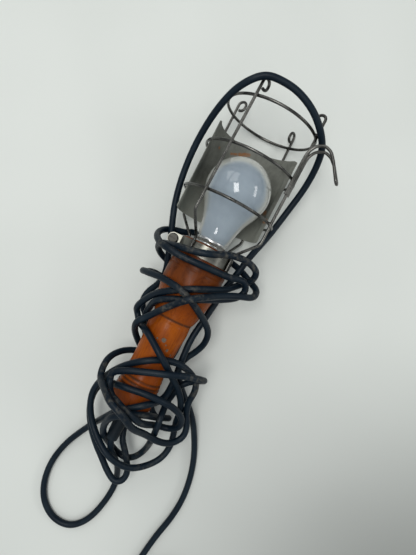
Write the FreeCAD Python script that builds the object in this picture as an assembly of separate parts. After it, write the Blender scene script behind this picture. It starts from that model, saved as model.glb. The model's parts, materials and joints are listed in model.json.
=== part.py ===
import FreeCAD, Part
import math
import os

# An inspection lamp, lying on a table. Millimetres. X goes across the lamp, Y runs along it from the butt of
# the handle to the tip of the cage, and Z is up. The origin is on the table, under the middle of the lamp
# without its cord. Stations along the lamp are given as "t", counted from the handle's butt.

V = FreeCAD.Vector

# The lamp's axis
AXIS_X = -14.0
AXIS_Z = 45.0
BUTT_Y = -160.0
CLEAR = 0.05             # gap between pieces that are assembled against each other

# Handle: radius and station of its outline, butt to waist and waist to crease, then the swollen head
BUTT_OUTLINE = [(13.5, 0), (17.0, 2.5), (19.3, 6), (20.5, 16), (19.8, 28)]
WAIST_OUTLINE = [(19.8, 28), (18.8, 37), (17.6, 48), (17.4, 58), (18.0, 72), (19.2, 87), (18.8, 98)]
HEAD_OUTLINE = [(18.8, 98), (21.5, 104), (24.4, 117), (26.8, 131), (26.8, 148), (26.5, 157.5)]
GROOVES = [(19.75, 28.5), (19.3, 32.5), (18.9, 36.5), (26.95, 146)]
GROOVE_DEPTH = 0.6
SEAT_R = 25.5            # where the clamp band sits
SEAT_START = 157.9
HEAD_END = 171.2
HEAD_CHAMFER = 0.7
CORD_BORE_R = 4.5
SLEEVE_BORE_DEPTH = 18.0
GRIP_POCKET = (13.0, 100.0)
HOLDER_POCKET = (21.6, 120.0)

# Cord and its sleeve
CORD_D = 6.2
CORD_R = CORD_D / 2
SLEEVE_END = -28.0
SLEEVE_BUTT_R = 7.0
SLEEVE_TIP_R = 5.5
INNER_CORD_END = 113.0
CORE_R = 1.1

# Cord grip: a split ring with two small screws across it
GRIP_R = 9.0
GRIP_SPAN = (103.0, 110.0)
GRIP_SPLIT = 0.8
GRIP_SCREW_AT = 6.0
GRIP_SCREW_R = 1.25
GRIP_SCREW_FOOT = 6.0    # below the axis
GRIP_SCREW_LENGTH = 13.0
GRIP_HEAD_R = 2.2
GRIP_HEAD_H = 1.6
GRIP_SINK_R = 2.5

# Lampholder
HOLDER_R = 21.3
HOLDER_START = 120.3
HOLDER_FLOOR = (132.0, 137.0)
HOLDER_END = 170.0
HOLDER_BACK_R = 14.0
SHELL_R = 13.85
SHELL_WALL = 0.45
SHELL_SPAN = (140.0, 169.0)
FIXING_AT = 17.6         # how far the holder's two screws are from the axis
FIXING_R = 1.6
FIXING_START = 107.0
FIXING_HEAD_R = 3.1
FIXING_HEAD_H = 2.1
FIXING_SINK = 2.5
TERMINAL_AT = 8.0
TERMINAL_BLOCK = (6.0, 4.4, 7.0)
TERMINAL_START = 127.5
STUD_R = 1.25
STRIP_WIDTH = 5.0
STRIP_THICK = 0.5

# Bulb with a skirted E27 cap
BULB_TIP = 151.0
CAP_RIM = 178.0
CAP_MAJOR_R = 13.1
CAP_MINOR_R = 12.2
CAP_WALL = 0.35
SKIRT_R = 14.75
THREAD_PITCH = 3.629
GLOBE_R = 31.0
GLOBE_AT = 230.6
GLOBE_BEGINS = -20.0     # the angle below its widest place at which the neck meets the round globe
NECK_OUTLINE = [(14.3, 177.0), (15.9, 183.0), (17.9, 192.8), (23.1, 206.8)]
GLASS_WALL = 0.9

# Clamp round the head
BAND_WALL = 0.95
BAND_SPAN = (158.3, 169.9)
BAND_SLOT = 1.0          # half the gap between the ears
EAR_WALL = 1.15
EAR_SCREW_AT = 33.2      # from the axis, on the -X side
EAR_END_R = 5.8
SCREW_R = 2.45
SCREW_HEAD_R = 4.5
SCREW_HEAD_H = 3.2
NUT_FLATS = 8.0
NUT_H = 3.9
WASHER_R = 4.9
WASHER_H = 0.9

# Cage of round steel wire: three rings, and four long wires that are welded to the outside of the rings.
# The rings' middle is a little beside and above the lamp's axis.
CAGE_X = AXIS_X - 1.0
CAGE_Z = AXIS_Z + 1.0
WIRE_R = 1.35
RING_R = 44.65
RING_STATIONS = [212.3, 256.4, 300.1]
BAR_R = RING_R + 2 * WIRE_R + CLEAR
BAR_FOOT_R = SEAT_R + BAND_WALL + WIRE_R + CLEAR
BAR_FOOT = (158.6, 174.0)
BAR_KNEE_AT = 192.0
BAR_BEND = 6.0
EYELET_R = 4.2
EYELET_CLOSING_R = 3.7
EYELET_SIDE = 1.4
EYELET_TAIL = 1.6
# Each long wire: its angles at the foot, knee and tip, the tip's station, and the angle that its eyelet
# curls towards. The foot's angle is taken round the lamp's axis, the others round the rings' middle.
BARS = {
    "cage_wire_upper_left": (119.5, 118.5, 115.4, 316.1, -48.0),
    "cage_wire_lower_left": (218.0, 217.0, 217.0, 317.2, 30.0),
    "cage_wire_lower_right": (307.0, 305.2, 303.9, 315.8, 126.0),
    "cage_wire_upper_right": (33.0, 31.4, 27.9, 319.2, 208.0),
}

# Hanging hook: radius, angle, station and twist along the middle between its two legs
HOOK_LINE = [(BAR_R, 30.0, 241, 0), (BAR_R, 29.1, 272, 0), (48.0, 29.3, 281, 10), (52.5, 29.6, 288, 30),
             (60.4, 29.8, 290, 30), (67.4, 29.4, 286.5, 25), (72.9, 29.0, 280, 10), (83.1, 29.1, 264, 0)]
HOOK_HALF_GAP = 3.0
HOOK_BEND = 12.0

# Reflector, a half trough of sheet inside the rings, its ends cut a little askew
SHEET = 0.6
TROUGH_R = 41.6
TROUGH_SPAN = (193.7, 283.3)
TROUGH_SKEW = 0.067      # how far the ends move towards the tip per millimetre of X
TROUGH_ANGLES = (176.0, 332.5)
LIP_R = 43.0
LIP_TURN = 5.0

# Plug with two round pins, lying past the coil
PIN_R = 2.4
PIN_LENGTH = 19.0
PIN_SPACING = 19.0
PIN_CHAMFER = 0.8
PLUG_R = 18.0
PLUG_FLAT = 16.0         # half the distance across its flats
PLUG_LENGTH = 36.0
PLUG_NECK_R = 6.5
PLUG_SHOULDER = 16.0
RELIEF_LENGTH = 22.0
RELIEF_R = (CORD_R + 1.0, 5.8)

# The cord's way from the sleeve to the coil, point by point
CORD_STRETCHES = {
    "cord_floor_loop": [
        (-14, -188, 45), (-11, -199, 41), (-5, -209, 29), (3, -221, 17), (7, -234, 9), (10, -247, 4),
        (9, -266, 3.2), (3, -290, 3.2), (-10, -306, 3.2), (-28, -308, 3.2), (-45, -299, 3.2),
        (-56, -282, 3.2), (-60, -258, 3.2), (-55, -232, 4), (-43, -206, 11), (-34, -188, 22),
        (-25, -165, 56), (-20, -153, 70), (-11, -147, 69), (0, -138, 69), (8, -134, 61),
    ],
    "cord_cage_loop": [
        (13, -129, 51), (14, -120, 43), (13, -106, 41), (11, -90, 41), (10, -72, 41), (13, -51, 39),
        (16, -28, 34), (18, -12, 35), (21, 2, 39), (24, 21, 42), (32, 48, 31), (37, 76, 31),
        (41, 101, 38), (41, 120, 48), (37, 134, 63), (26, 142, 78), (12, 150, 87), (-5, 156, 91),
        (-21, 157, 93), (-35, 155, 94), (-46, 146, 91), (-56, 135, 80), (-64, 115, 65), (-68, 88, 51),
        (-67, 60, 42), (-62, 33, 37), (-53, 9, 34), (-46, -12, 28), (-41, -29, 23), (-43, -42, 18),
        (-49, -52, 15), (-51, -63, 12), (-47, -72, 8), (-34, -83, 5), (-20, -88, 3.4), (-11, -98, 3.4),
        (-17, -108, 6), (-29, -107, 15),
    ],
    "cord_collar_lower_wrap": [
        (-36, -98, 28), (-41, -87, 48), (-41, -77, 62), (-34, -69, 63), (-26, -58, 71), (-18, -48, 81),
        (-11, -40, 90), (-4, -34, 91), (5, -29, 82), (15, -23, 71), (30, -16, 62), (44, -12, 51),
        (45, -4, 43), (37, 0, 37), (25, 6, 30), (12, 10, 22), (0, 12, 10), (-20, 18, 9), (-36, 21, 14),
    ],
    "cord_collar_middle_wrap": [
        (-41, 16, 20), (-53, 13, 24), (-62, 8, 32), (-63, 1, 47), (-56, -5, 63), (-44, -7, 75),
        (-29, -8, 77), (-12, -7, 78), (4, -6, 71), (17, -5, 63), (22, -3, 58), (30, -2, 54),
        (35, -10, 50), (30, -19, 51), (18, -26, 60), (5, -32, 70), (-9, -39, 74), (-23, -45, 72),
        (-34, -52, 66), (-38, -63, 48), (-39, -74, 35), (-37, -84, 25), (-30, -94, 17), (-18, -95, 13),
        (-8, -85, 12), (-5, -68, 12), (-10, -50, 12), (-20, -35, 11), (-34, -22, 11),
    ],
    "cord_collar_upper_wrap": [
        (-46, -17, 16), (-54, -14, 25), (-58, -9, 37), (-56, -5, 51), (-46, -3, 62), (-35, -1, 75),
        (-21, 1, 80), (-8, 5, 80), (5, 12, 73), (18, 15, 64), (29, 14, 58), (36, 10, 53), (36, 2, 47),
        (30, -4, 44), (23, -11, 49), (15, -18, 62), (0, -24, 75), (-14, -31, 76), (-28, -40, 72),
        (-38, -48, 61), (-45, -59, 51), (-49, -68, 44), (-47, -73, 38), (-40, -81, 41), (-29, -80, 65),
        (-20, -85, 69), (-10, -91, 73), (0, -98, 71), (9, -108, 57),
    ],
    "cord_butt_ring": [
        (20, -118, 47), (28, -128, 41), (33, -140, 35), (34, -153, 28), (38, -166, 23), (41, -179, 22),
        (38, -193, 24), (28, -204, 28), (16, -210, 34), (3, -208, 42), (-11, -203, 46),
        (-25, -195, 43), (-39, -183, 40), (-47, -169, 42), (-50, -154, 44), (-45, -137, 51),
        (-37, -123, 57), (-27, -111, 65), (-14, -101, 68), (-2, -96, 63), (10, -95, 56), (22, -98, 51),
        (33, -105, 46), (36, -116, 43), (35, -126, 40), (38, -138, 37), (45, -149, 34), (47, -161, 33),
        (39, -170, 37), (27, -170, 48), (12, -164, 60), (-1, -157, 81), (-10, -147, 93),
        (-18, -143, 95), (-27, -141, 92), (-36, -138, 81), (-47, -138, 60), (-50, -129, 56),
        (-50, -120, 48), (-44, -113, 38), (-36, -110, 27),
    ],
    "cord_butt_hairpin": [
        (-28, -108, 24), (-14, -112, 19), (-4, -122, 14), (-4, -136, 12), (-9, -152, 13),
        (-12, -168, 19), (-6, -191, 26), (2, -200, 26), (9, -209, 26), (15, -219, 26), (14, -228, 27),
        (7, -232, 27), (-3, -227, 26), (-14, -218, 25), (-26, -208, 25), (-37, -195, 28),
        (-47, -178, 30), (-50, -161, 33), (-46, -148, 37), (-40, -141, 48), (-27, -133, 68),
        (-16, -131, 69), (-3, -129, 69), (11, -129, 67), (24, -132, 58), (36, -140, 47),
        (39, -152, 39), (31, -161, 31), (18, -162, 34), (5, -154, 70), (-5, -147, 83), (-14, -144, 85),
        (-23, -141, 83), (-31, -141, 75), (-37, -136, 65), (-40, -126, 67),
    ],
    "cord_butt_arc": [
        (-29, -118, 71), (-12, -111, 72), (4, -105, 72), (17, -101, 67), (29, -99, 61), (38, -99, 53),
        (39, -102, 41), (32, -108, 33), (22, -117, 31), (18, -131, 35), (17, -140, 43), (18, -150, 53),
        (20, -166, 48), (21, -191, 21), (16, -204, 19), (8, -211, 17), (-2, -211, 16), (-14, -204, 21),
        (-24, -185, 49), (-25, -170, 61), (-21, -158, 74), (-13, -152, 76), (-5, -148, 74),
        (5, -148, 61), (15, -155, 36), (22, -155, 27), (28, -155, 20), (24, -160, 11), (15, -166, 7),
        (4, -157, 4), (-2, -142, 3.4), (0, -122, 3.4), (3, -98, 3.4), (2, -74, 3.4), (-7, -53, 3.4),
        (-26, -39, 4), (-43, -34, 9), (-54, -33, 21),
    ],
    "cord_waist_wrap": [
        (-59, -36, 37), (-59, -35, 48), (-51, -34, 59), (-40, -32, 69), (-29, -32, 78), (-18, -33, 84),
        (-7, -37, 84), (4, -44, 70), (14, -51, 55), (22, -59, 46), (24, -71, 38), (20, -83, 33),
        (14, -93, 31),
    ],
    "cord_tail": [
        (12, -105, 27), (19, -117, 22), (28, -127, 20), (39, -136, 19), (50, -148, 16), (61, -167, 8),
        (70, -186, 3.2), (76, -206, 3.2), (79, -229, 3.2), (77, -252, 3.2), (72, -273, 3.2),
        (69, -292, 3.2), (67, -310, 3.1), (67, -326, 3.1),
    ],
}

# The put-away coil: half turns of these radii, the middle one climbing from the lower layer to the upper
LAYER_STEP = CORD_D + 0.6
COIL_LOWER = [36.6, 33.2, 29.8]
COIL_CLIMB = 26.4
COIL_UPPER = [29.8, 33.2]
# From the coil to the plug
PLUG_LEAD = [(0, -12, 0), (0.5, -24, 1), (1, -36, 4), (1.5, -48, 6.1), (1.5, -60, 6.1)]


def flat(radius, t):
    """A point of an outline that is turned about the lamp's axis."""
    return V(AXIS_X + radius, BUTT_Y + t, AXIS_Z)


def at(radius, angle, t):
    """The point at a radius and an angle round the lamp's axis."""
    a = math.radians(angle)
    return V(AXIS_X + radius * math.cos(a), BUTT_Y + t, AXIS_Z + radius * math.sin(a))


def about_cage(radius, angle, t):
    """The point at a radius and an angle round the rings' middle."""
    return at(radius, angle, t) + V(CAGE_X - AXIS_X, 0, CAGE_Z - AXIS_Z)


def line(a, b):
    return Part.LineSegment(a, b).toShape()


def curve(points):
    """A smooth curve through points of an outline."""
    spline = Part.BSplineCurve()
    spline.interpolate([flat(r, t) for r, t in points])
    return spline.toShape()


def turned(edges):
    """The solid that a closed outline makes when it turns about the lamp's axis."""
    face = Part.Face(Part.Wire(edges))
    return face.revolve(V(AXIS_X, 0, AXIS_Z), V(0, 1, 0), 360)


def turned_outline(points):
    """The same for an outline of straight lines through (radius, t) points."""
    corners = [flat(r, t) for r, t in points]
    return turned([line(a, b) for a, b in zip(corners, corners[1:] + corners[:1])])


def rod(radius, start, end, x=0.0, z=0.0):
    """A cylinder along the lamp, x and z away from its axis."""
    return Part.makeCylinder(radius, end - start, V(AXIS_X + x, BUTT_Y + start, AXIS_Z + z), V(0, 1, 0))


def pipe(outer, inner, start, end):
    return rod(outer, start, end).cut(rod(inner, start - 1, end + 1))


def corner_arcs(points, largest=None):
    """The tangent arc at each inner point of a line of straight runs, as (start, middle, end, radius)."""
    arcs = []
    for before, corner, after in zip(points, points[1:], points[2:]):
        into = corner - before
        out = after - corner
        half_turn = into.getAngle(out) / 2
        cut = 0.45 * min(into.Length, out.Length)
        radius = cut / math.tan(half_turn)
        if largest and radius > largest:
            radius = largest
            cut = radius * math.tan(half_turn)
        into.normalize()
        out.normalize()
        inward = (out - into).normalize()
        middle = corner + inward * (radius / math.cos(half_turn) - radius)
        arcs.append((corner - into * cut, middle, corner + out * cut, radius))
    return arcs


def rounded_edges(start, arcs, end):
    """Straight edges and arcs from start through the arcs to end."""
    edges = []
    here = start
    for first, middle, last, _ in arcs:
        edges.append(line(here, first))
        edges.append(Part.Arc(first, middle, last).toShape())
        here = last
    edges.append(line(here, end))
    return edges


def tube(edges, radius):
    """A round bar of that radius along a path that begins with a straight edge."""
    path = Part.Wire(edges)
    first = edges[0]
    start = first.valueAt(first.FirstParameter)
    heading = first.tangentAt(first.FirstParameter)
    section = Part.Wire([Part.Circle(start, heading, radius).toShape()])
    solid = path.makePipeShell([section], True, False)
    expected = math.pi * radius ** 2 * path.Length
    if abs(solid.Volume / expected - 1) > 0.01:
        print("volume is off by %.1f %%" % (100 * (solid.Volume / expected - 1)))
    return solid


def bent_wire(points, bend):
    return tube(rounded_edges(points[0], corner_arcs(points, bend), points[-1]), WIRE_R)


def handle():
    """Turned wood with a bore for the cord and pockets for the cord grip and the lampholder."""
    rim = [flat(SEAT_R, SEAT_START), flat(SEAT_R, HEAD_END - HEAD_CHAMFER)]
    rim.append(flat(SEAT_R - HEAD_CHAMFER, HEAD_END))
    head_tip = flat(*HEAD_OUTLINE[-1])
    edges = [line(flat(0, 0), flat(*BUTT_OUTLINE[0])), curve(BUTT_OUTLINE), curve(WAIST_OUTLINE)]
    edges += [curve(HEAD_OUTLINE), line(head_tip, rim[0]), line(rim[0], rim[1]), line(rim[1], rim[2])]
    edges += [line(rim[2], flat(0, HEAD_END)), line(flat(0, HEAD_END), flat(0, 0))]
    body = turned(edges)
    for radius, t in GROOVES:
        half_width = GROOVE_DEPTH + 1
        rims = [(radius + 1, t - half_width), (radius + 1, t + half_width)]
        body = body.cut(turned_outline([(radius - GROOVE_DEPTH, t)] + rims))
    hollows = [rod(SLEEVE_BUTT_R, -1, SLEEVE_BORE_DEPTH), rod(CORD_BORE_R, 0, HEAD_END)]
    hollows += [rod(radius, start, HEAD_END + 1) for radius, start in (GRIP_POCKET, HOLDER_POCKET)]
    hollows += [rod(FIXING_R, FIXING_START, HEAD_END, z=side * FIXING_AT) for side in (-1, 1)]
    for hollow in hollows:
        body = body.cut(hollow)
    return body


def cord_sleeve():
    """Tapered rubber tube round the cord, its thick end sunk in the butt."""
    depth = SLEEVE_BORE_DEPTH - 0.5
    return turned_outline([
        (CORD_R, SLEEVE_END), (SLEEVE_TIP_R, SLEEVE_END), (SLEEVE_BUTT_R - 0.1, 0),
        (SLEEVE_BUTT_R - 0.1, depth), (CORD_R, depth)])


def cord_grip():
    """A clamping ring round the cord, split where its two screws cross."""
    start, end = GRIP_SPAN
    ring = pipe(GRIP_R, CORD_R, start, end)
    inside = CORD_R - 0.6
    for side in (-1, 1):
        hole = Part.makeCylinder(GRIP_SCREW_R + CLEAR, 2 * GRIP_R, grip_point(side, -GRIP_R), V(0, 0, 1))
        sink_z = GRIP_SCREW_LENGTH - GRIP_SCREW_FOOT - 0.1
        sink = Part.makeCylinder(GRIP_SINK_R, GRIP_R, grip_point(side, sink_z), V(0, 0, 1))
        x = inside if side > 0 else -inside - GRIP_R
        corner = V(AXIS_X + x, BUTT_Y + start - 1, AXIS_Z - GRIP_SPLIT / 2)
        split = Part.makeBox(GRIP_R, end - start + 2, GRIP_SPLIT, corner)
        for hollow in (hole, sink, split):
            ring = ring.cut(hollow)
    return ring


def grip_point(side, z):
    """A point on the line of one of the grip's screws, z above the axis."""
    return V(AXIS_X + side * GRIP_SCREW_AT, BUTT_Y + sum(GRIP_SPAN) / 2, AXIS_Z + z)


def cord_grip_screws():
    """Two small screws across the grip, with round heads."""
    screws = []
    for side in (-1, 1):
        foot = grip_point(side, -GRIP_SCREW_FOOT)
        shank = Part.makeCylinder(GRIP_SCREW_R, GRIP_SCREW_LENGTH, foot, V(0, 0, 1))
        head = Part.makeCylinder(GRIP_HEAD_R, GRIP_HEAD_H, foot + V(0, 0, GRIP_SCREW_LENGTH), V(0, 0, 1))
        screws.append(shank.fuse(head).removeSplitter())
    return Part.makeCompound(screws)


def conductor(side):
    """One insulated core from the cord's end to its terminal."""
    way = [(1.5, INNER_CORD_END), (1.5, INNER_CORD_END + 4), (6, 123)]
    way.append((TERMINAL_AT, TERMINAL_START - 0.7))
    points = [V(AXIS_X + side * x, BUTT_Y + t, AXIS_Z) for x, t in way]
    return tube(rounded_edges(points[0], corner_arcs(points, 6), points[-1]), CORE_R)


def lampholder_body():
    """Porcelain cup with a hollow back for the terminals and a chamber for the threaded shell."""
    floor_start, floor_end = HOLDER_FLOOR
    chamber_r = SHELL_R + CLEAR
    body = turned_outline([
        (0, floor_start), (HOLDER_BACK_R, floor_start), (HOLDER_BACK_R, HOLDER_START),
        (HOLDER_R, HOLDER_START), (HOLDER_R, HOLDER_END - 1), (HOLDER_R - 1, HOLDER_END),
        (chamber_r, HOLDER_END), (chamber_r, floor_end), (0, floor_end)])
    for side in (-1, 1):
        body = body.cut(rod(FIXING_R + 0.2, HOLDER_START - 1, HOLDER_END + 1, z=side * FIXING_AT))
        body = body.cut(rod(FIXING_HEAD_R + 0.2, HOLDER_END - FIXING_SINK, HOLDER_END + 1, z=side * FIXING_AT))
        body = body.cut(rod(STUD_R + CLEAR, floor_start - 1, floor_end + 1, x=side * TERMINAL_AT))
    return body


def holder_screws():
    """Two long screws through the porcelain into the wood."""
    screws = []
    neck = HOLDER_END - FIXING_SINK + 0.1
    for side in (-1, 1):
        shank = rod(FIXING_R, FIXING_START, neck, z=side * FIXING_AT)
        head = rod(FIXING_HEAD_R, neck, neck + FIXING_HEAD_H, z=side * FIXING_AT)
        screws.append(shank.fuse(head).removeSplitter())
    return Part.makeCompound(screws)


def terminals():
    """Two brass blocks behind the porcelain floor, each with a stud through it."""
    width, length, height = TERMINAL_BLOCK
    blocks = []
    for side in (-1, 1):
        middle = AXIS_X + side * TERMINAL_AT
        corner = V(middle - width / 2, BUTT_Y + TERMINAL_START, AXIS_Z - height / 2)
        stud = rod(STUD_R, TERMINAL_START + length - 1, HOLDER_FLOOR[1], x=side * TERMINAL_AT)
        blocks.append(Part.makeBox(width, length, height, corner).fuse(stud).removeSplitter())
    return Part.makeCompound(blocks)


def terminal_screws():
    length, height = TERMINAL_BLOCK[1:]
    screws = []
    for side in (-1, 1):
        foot = V(AXIS_X + side * TERMINAL_AT, BUTT_Y + TERMINAL_START + length / 2, AXIS_Z + height / 2)
        screws.append(Part.makeCylinder(1.9, 2.2, foot, V(0, 0, 1)))
    return Part.makeCompound(screws)


def strip(outline):
    """A strip of sheet brass, from its edge's outline in (x, t) about the axis."""
    corners = [V(AXIS_X + x, BUTT_Y + t, AXIS_Z - STRIP_WIDTH / 2) for x, t in outline]
    face = Part.Face(Part.makePolygon(corners + corners[:1]))
    return face.extrude(V(0, 0, STRIP_WIDTH))


def centre_contact():
    """A brass tongue from one stud to the bulb's tip."""
    foot = HOLDER_FLOOR[1] + CLEAR
    top = BULB_TIP - 0.15 - STRIP_THICK
    lower = [(TERMINAL_AT + 2.2, foot), (3.5, foot), (2.0, foot + 0.55), (-3.0, top), (-5.0, top)]
    upper = [(x, t + STRIP_THICK) for x, t in lower]
    return strip(lower + upper[::-1])


def side_contact():
    """A brass tongue from the other stud to the foot of the threaded shell."""
    inner = 2.2 - TERMINAL_AT
    outer = 0.3 - SHELL_R
    foot = HOLDER_FLOOR[1] + CLEAR
    top = SHELL_SPAN[0] - CLEAR
    return strip([(inner, foot), (outer, foot), (outer, top), (outer + STRIP_THICK, top),
                  (outer + STRIP_THICK, foot + STRIP_THICK), (inner, foot + STRIP_THICK)])


def threaded_shell():
    """The brass shell that the cap screws into, its thread drawn as rings."""
    start, end = SHELL_SPAN
    shell = pipe(SHELL_R, SHELL_R - SHELL_WALL, start, end)
    turns = int((end - start - 6) / THREAD_PITCH)
    for turn in range(turns):
        t = start + 5 + turn * THREAD_PITCH
        shell = shell.cut(Part.makeTorus(SHELL_R + 0.45, 0.7, V(AXIS_X, BUTT_Y + t, AXIS_Z), V(0, 1, 0)))
    return shell


def bulb_glass_outline(inset):
    """The envelope's outline from the cap to the top, moved inwards by inset."""
    radius = GLOBE_R - inset
    top = flat(0, GLOBE_AT + radius)
    low = math.radians(GLOBE_BEGINS)
    side = flat(radius, GLOBE_AT)
    join = (radius * math.cos(low), GLOBE_AT + radius * math.sin(low))
    points = [flat(r - inset, t) for r, t in NECK_OUTLINE] + [flat(*join)]
    tangent = V(-math.sin(low), math.cos(low), 0)
    neck = Part.BSplineCurve()
    neck.interpolate(Points=points, InitialTangent=V(0, 1, 0), FinalTangent=tangent)
    globe = Part.Arc(flat(*join), side, top).toShape()
    return [neck.toShape(), globe], points[0], top


def bulb_glass():
    """Opal envelope, hollow."""
    solids = []
    for inset in (0.0, GLASS_WALL):
        edges, foot, top = bulb_glass_outline(inset)
        middle = flat(0, NECK_OUTLINE[0][1])
        solids.append(turned(edges + [line(top, middle), line(middle, foot)]))
    return solids[0].cut(solids[1])


def thread_curve(offset):
    """The rolled thread of the cap as a wavy outline, from near the tip to the plain collar."""
    count = 9
    points = []
    for step in range(count):
        radius = CAP_MINOR_R if step % 2 == 0 else CAP_MAJOR_R
        points.append((radius - offset, 158.5 + step * THREAD_PITCH / 2))
    return points


def bulb_cap_shell():
    """Thin metal cap with a rolled thread, a skirt that widens at the glass and a cone towards the tip."""
    outer = thread_curve(0)
    inner = thread_curve(CAP_WALL)
    skirt = [(13.35, 174.4), (SKIRT_R, 175.6), (SKIRT_R, CAP_RIM)]
    skirt += [(r - CAP_WALL, t) for r, t in ((SKIRT_R, CAP_RIM), (SKIRT_R, 175.8), (13.35, 174.6))]
    tip_outer = (8.0, 153.6)
    tip_inner = (8.0, 154.2)
    edges = [line(flat(*tip_outer), flat(*outer[0])), curve(outer), line(flat(*outer[-1]), flat(*skirt[0]))]
    edges += [line(flat(*a), flat(*b)) for a, b in zip(skirt, skirt[1:])]
    edges += [line(flat(*skirt[-1]), flat(*inner[-1])), curve(inner[::-1])]
    edges.append(line(flat(*inner[0]), flat(*tip_inner)))
    edges.append(line(flat(*tip_inner), flat(*tip_outer)))
    return turned(edges)


def bulb_cap_insulator():
    return turned_outline([(0, 152.4), (4.4, 152.4), (7.95, 153.65), (7.95, 155.6), (0, 155.6)])


def bulb_cap_contact():
    return turned_outline([(0, BULB_TIP), (3.2, BULB_TIP), (4.2, 151.6), (4.2, 152.35), (0, 152.35)])


def bulb_stem():
    """The glass foot that carries the filament, flared where it is sealed to the neck."""
    return turned_outline([(0, 179), (12.8, 179), (5.6, 187), (4, 204), (0, 206)])


def filament_wires():
    """Two leads and two fine supports from the stem to the filament."""
    wires = []
    for side in (-1, 1):
        points = [at(3, 90 - 90 * side, 203), at(3, 90 - 90 * side, 208), at(13, 90 - 90 * side, 226)]
        leads = tube(rounded_edges(points[0], corner_arcs(points, 5), points[-1]), 0.35)
        wires.append(leads)
    return Part.makeCompound(wires)


def filament():
    """The coiled filament, drawn as its round outer form, bowed between the leads."""
    ends = [V(AXIS_X + side * 12.4, BUTT_Y + 226.5, AXIS_Z) for side in (-1, 1)]
    middle = V(AXIS_X, BUTT_Y + 231.5, AXIS_Z)
    path = Part.Wire([Part.Arc(ends[0], middle, ends[1]).toShape()])
    heading = path.Edges[0].tangentAt(path.Edges[0].FirstParameter)
    section = Part.Wire([Part.Circle(ends[0], heading, 0.5).toShape()])
    return path.makePipeShell([section], True, False)


def clamp_band():
    """A sheet band round the head, open at the -X side, with an ear each side of the gap."""
    start, end = BAND_SPAN
    outer = SEAT_R + BAND_WALL
    band = pipe(outer, SEAT_R + CLEAR, start, end)
    width = end - start
    corner = V(AXIS_X - outer - 1, BUTT_Y + start - 1, AXIS_Z - BAND_SLOT)
    band = band.cut(Part.makeBox(outer, width + 2, 2 * BAND_SLOT, corner))
    reach = EAR_SCREW_AT - SEAT_R - 0.2
    for side in (-1, 1):
        z = AXIS_Z + (BAND_SLOT if side > 0 else -BAND_SLOT - EAR_WALL)
        plate = Part.makeBox(reach, width, EAR_WALL, V(AXIS_X - EAR_SCREW_AT, BUTT_Y + start, z))
        tip = Part.makeCylinder(EAR_END_R, EAR_WALL, clamp_centre(z), V(0, 0, 1))
        hole = Part.makeCylinder(SCREW_R + 0.25, EAR_WALL + 2, clamp_centre(z - 1), V(0, 0, 1))
        band = band.fuse(plate.fuse(tip).cut(hole))
    return band.removeSplitter()


def clamp_centre(z):
    return V(AXIS_X - EAR_SCREW_AT, BUTT_Y + sum(BAND_SPAN) / 2, z)


def clamp_washer():
    z = AXIS_Z + BAND_SLOT + EAR_WALL + CLEAR
    disc = Part.makeCylinder(WASHER_R, WASHER_H, clamp_centre(z), V(0, 0, 1))
    return disc.cut(Part.makeCylinder(SCREW_R + 0.15, WASHER_H + 2, clamp_centre(z - 1), V(0, 0, 1)))


def clamp_screw():
    """A slotted screw, upright through the ears."""
    head_z = AXIS_Z + BAND_SLOT + EAR_WALL + 2 * CLEAR + WASHER_H
    foot_z = AXIS_Z - BAND_SLOT - EAR_WALL - NUT_H - 1.6
    shank = Part.makeCylinder(SCREW_R, head_z - foot_z, clamp_centre(foot_z), V(0, 0, 1))
    head = Part.makeCylinder(SCREW_HEAD_R, SCREW_HEAD_H, clamp_centre(head_z), V(0, 0, 1))
    head = head.makeChamfer(0.6, [head.Edges[0]])
    slot = Part.makeBox(12, 1.2, 2, clamp_centre(head_z + SCREW_HEAD_H - 1.5) - V(6, 0.6, 0))
    return shank.fuse(head).cut(slot).removeSplitter()


def clamp_nut():
    z = AXIS_Z - BAND_SLOT - EAR_WALL - CLEAR - NUT_H
    reach = NUT_FLATS / 2 / math.cos(math.radians(30))
    turns = [math.radians(60 * k) for k in range(6)]
    corners = [clamp_centre(z) + V(reach * math.cos(a), reach * math.sin(a), 0) for a in turns]
    prism = Part.Face(Part.makePolygon(corners + corners[:1])).extrude(V(0, 0, NUT_H))
    return prism.cut(Part.makeCylinder(SCREW_R + 0.05, NUT_H + 2, clamp_centre(z - 1), V(0, 0, 1)))


def cage_bar(foot_angle, knee_angle, tip_angle, tip, curl_angle):
    """A long wire: its foot on the band, a shoulder, the bar and an eyelet curled inwards at its tip."""
    a = math.radians(curl_angle)
    inward = V(math.cos(a), 0, math.sin(a))
    forward = V(0, 1, 0)
    shoulder = [at(BAR_FOOT_R, foot_angle, t) for t in BAR_FOOT]
    shoulder += [about_cage(BAR_R, knee_angle, BAR_KNEE_AT)]
    top = about_cage(BAR_R, tip_angle, tip)
    bar_end = top - forward * EYELET_R
    edges = rounded_edges(shoulder[0], corner_arcs(shoulder + [bar_end], BAR_BEND), bar_end)
    over = bar_end + inward * (2 * EYELET_R)
    edges.append(Part.Arc(bar_end, top + inward * EYELET_R, over).toShape())
    down = over - forward * EYELET_SIDE
    edges.append(line(over, down))
    hub = down - inward * EYELET_CLOSING_R
    slant = math.sqrt(0.5) * EYELET_CLOSING_R
    last = hub - forward * EYELET_CLOSING_R
    edges.append(Part.Arc(down, hub + inward * slant - forward * slant, last).toShape())
    edges.append(line(last, last - inward * EYELET_TAIL))
    return tube(edges, WIRE_R)


def cage_ring(t):
    return Part.makeTorus(RING_R, WIRE_R, V(CAGE_X, BUTT_Y + t, CAGE_Z), V(0, 1, 0))


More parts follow.
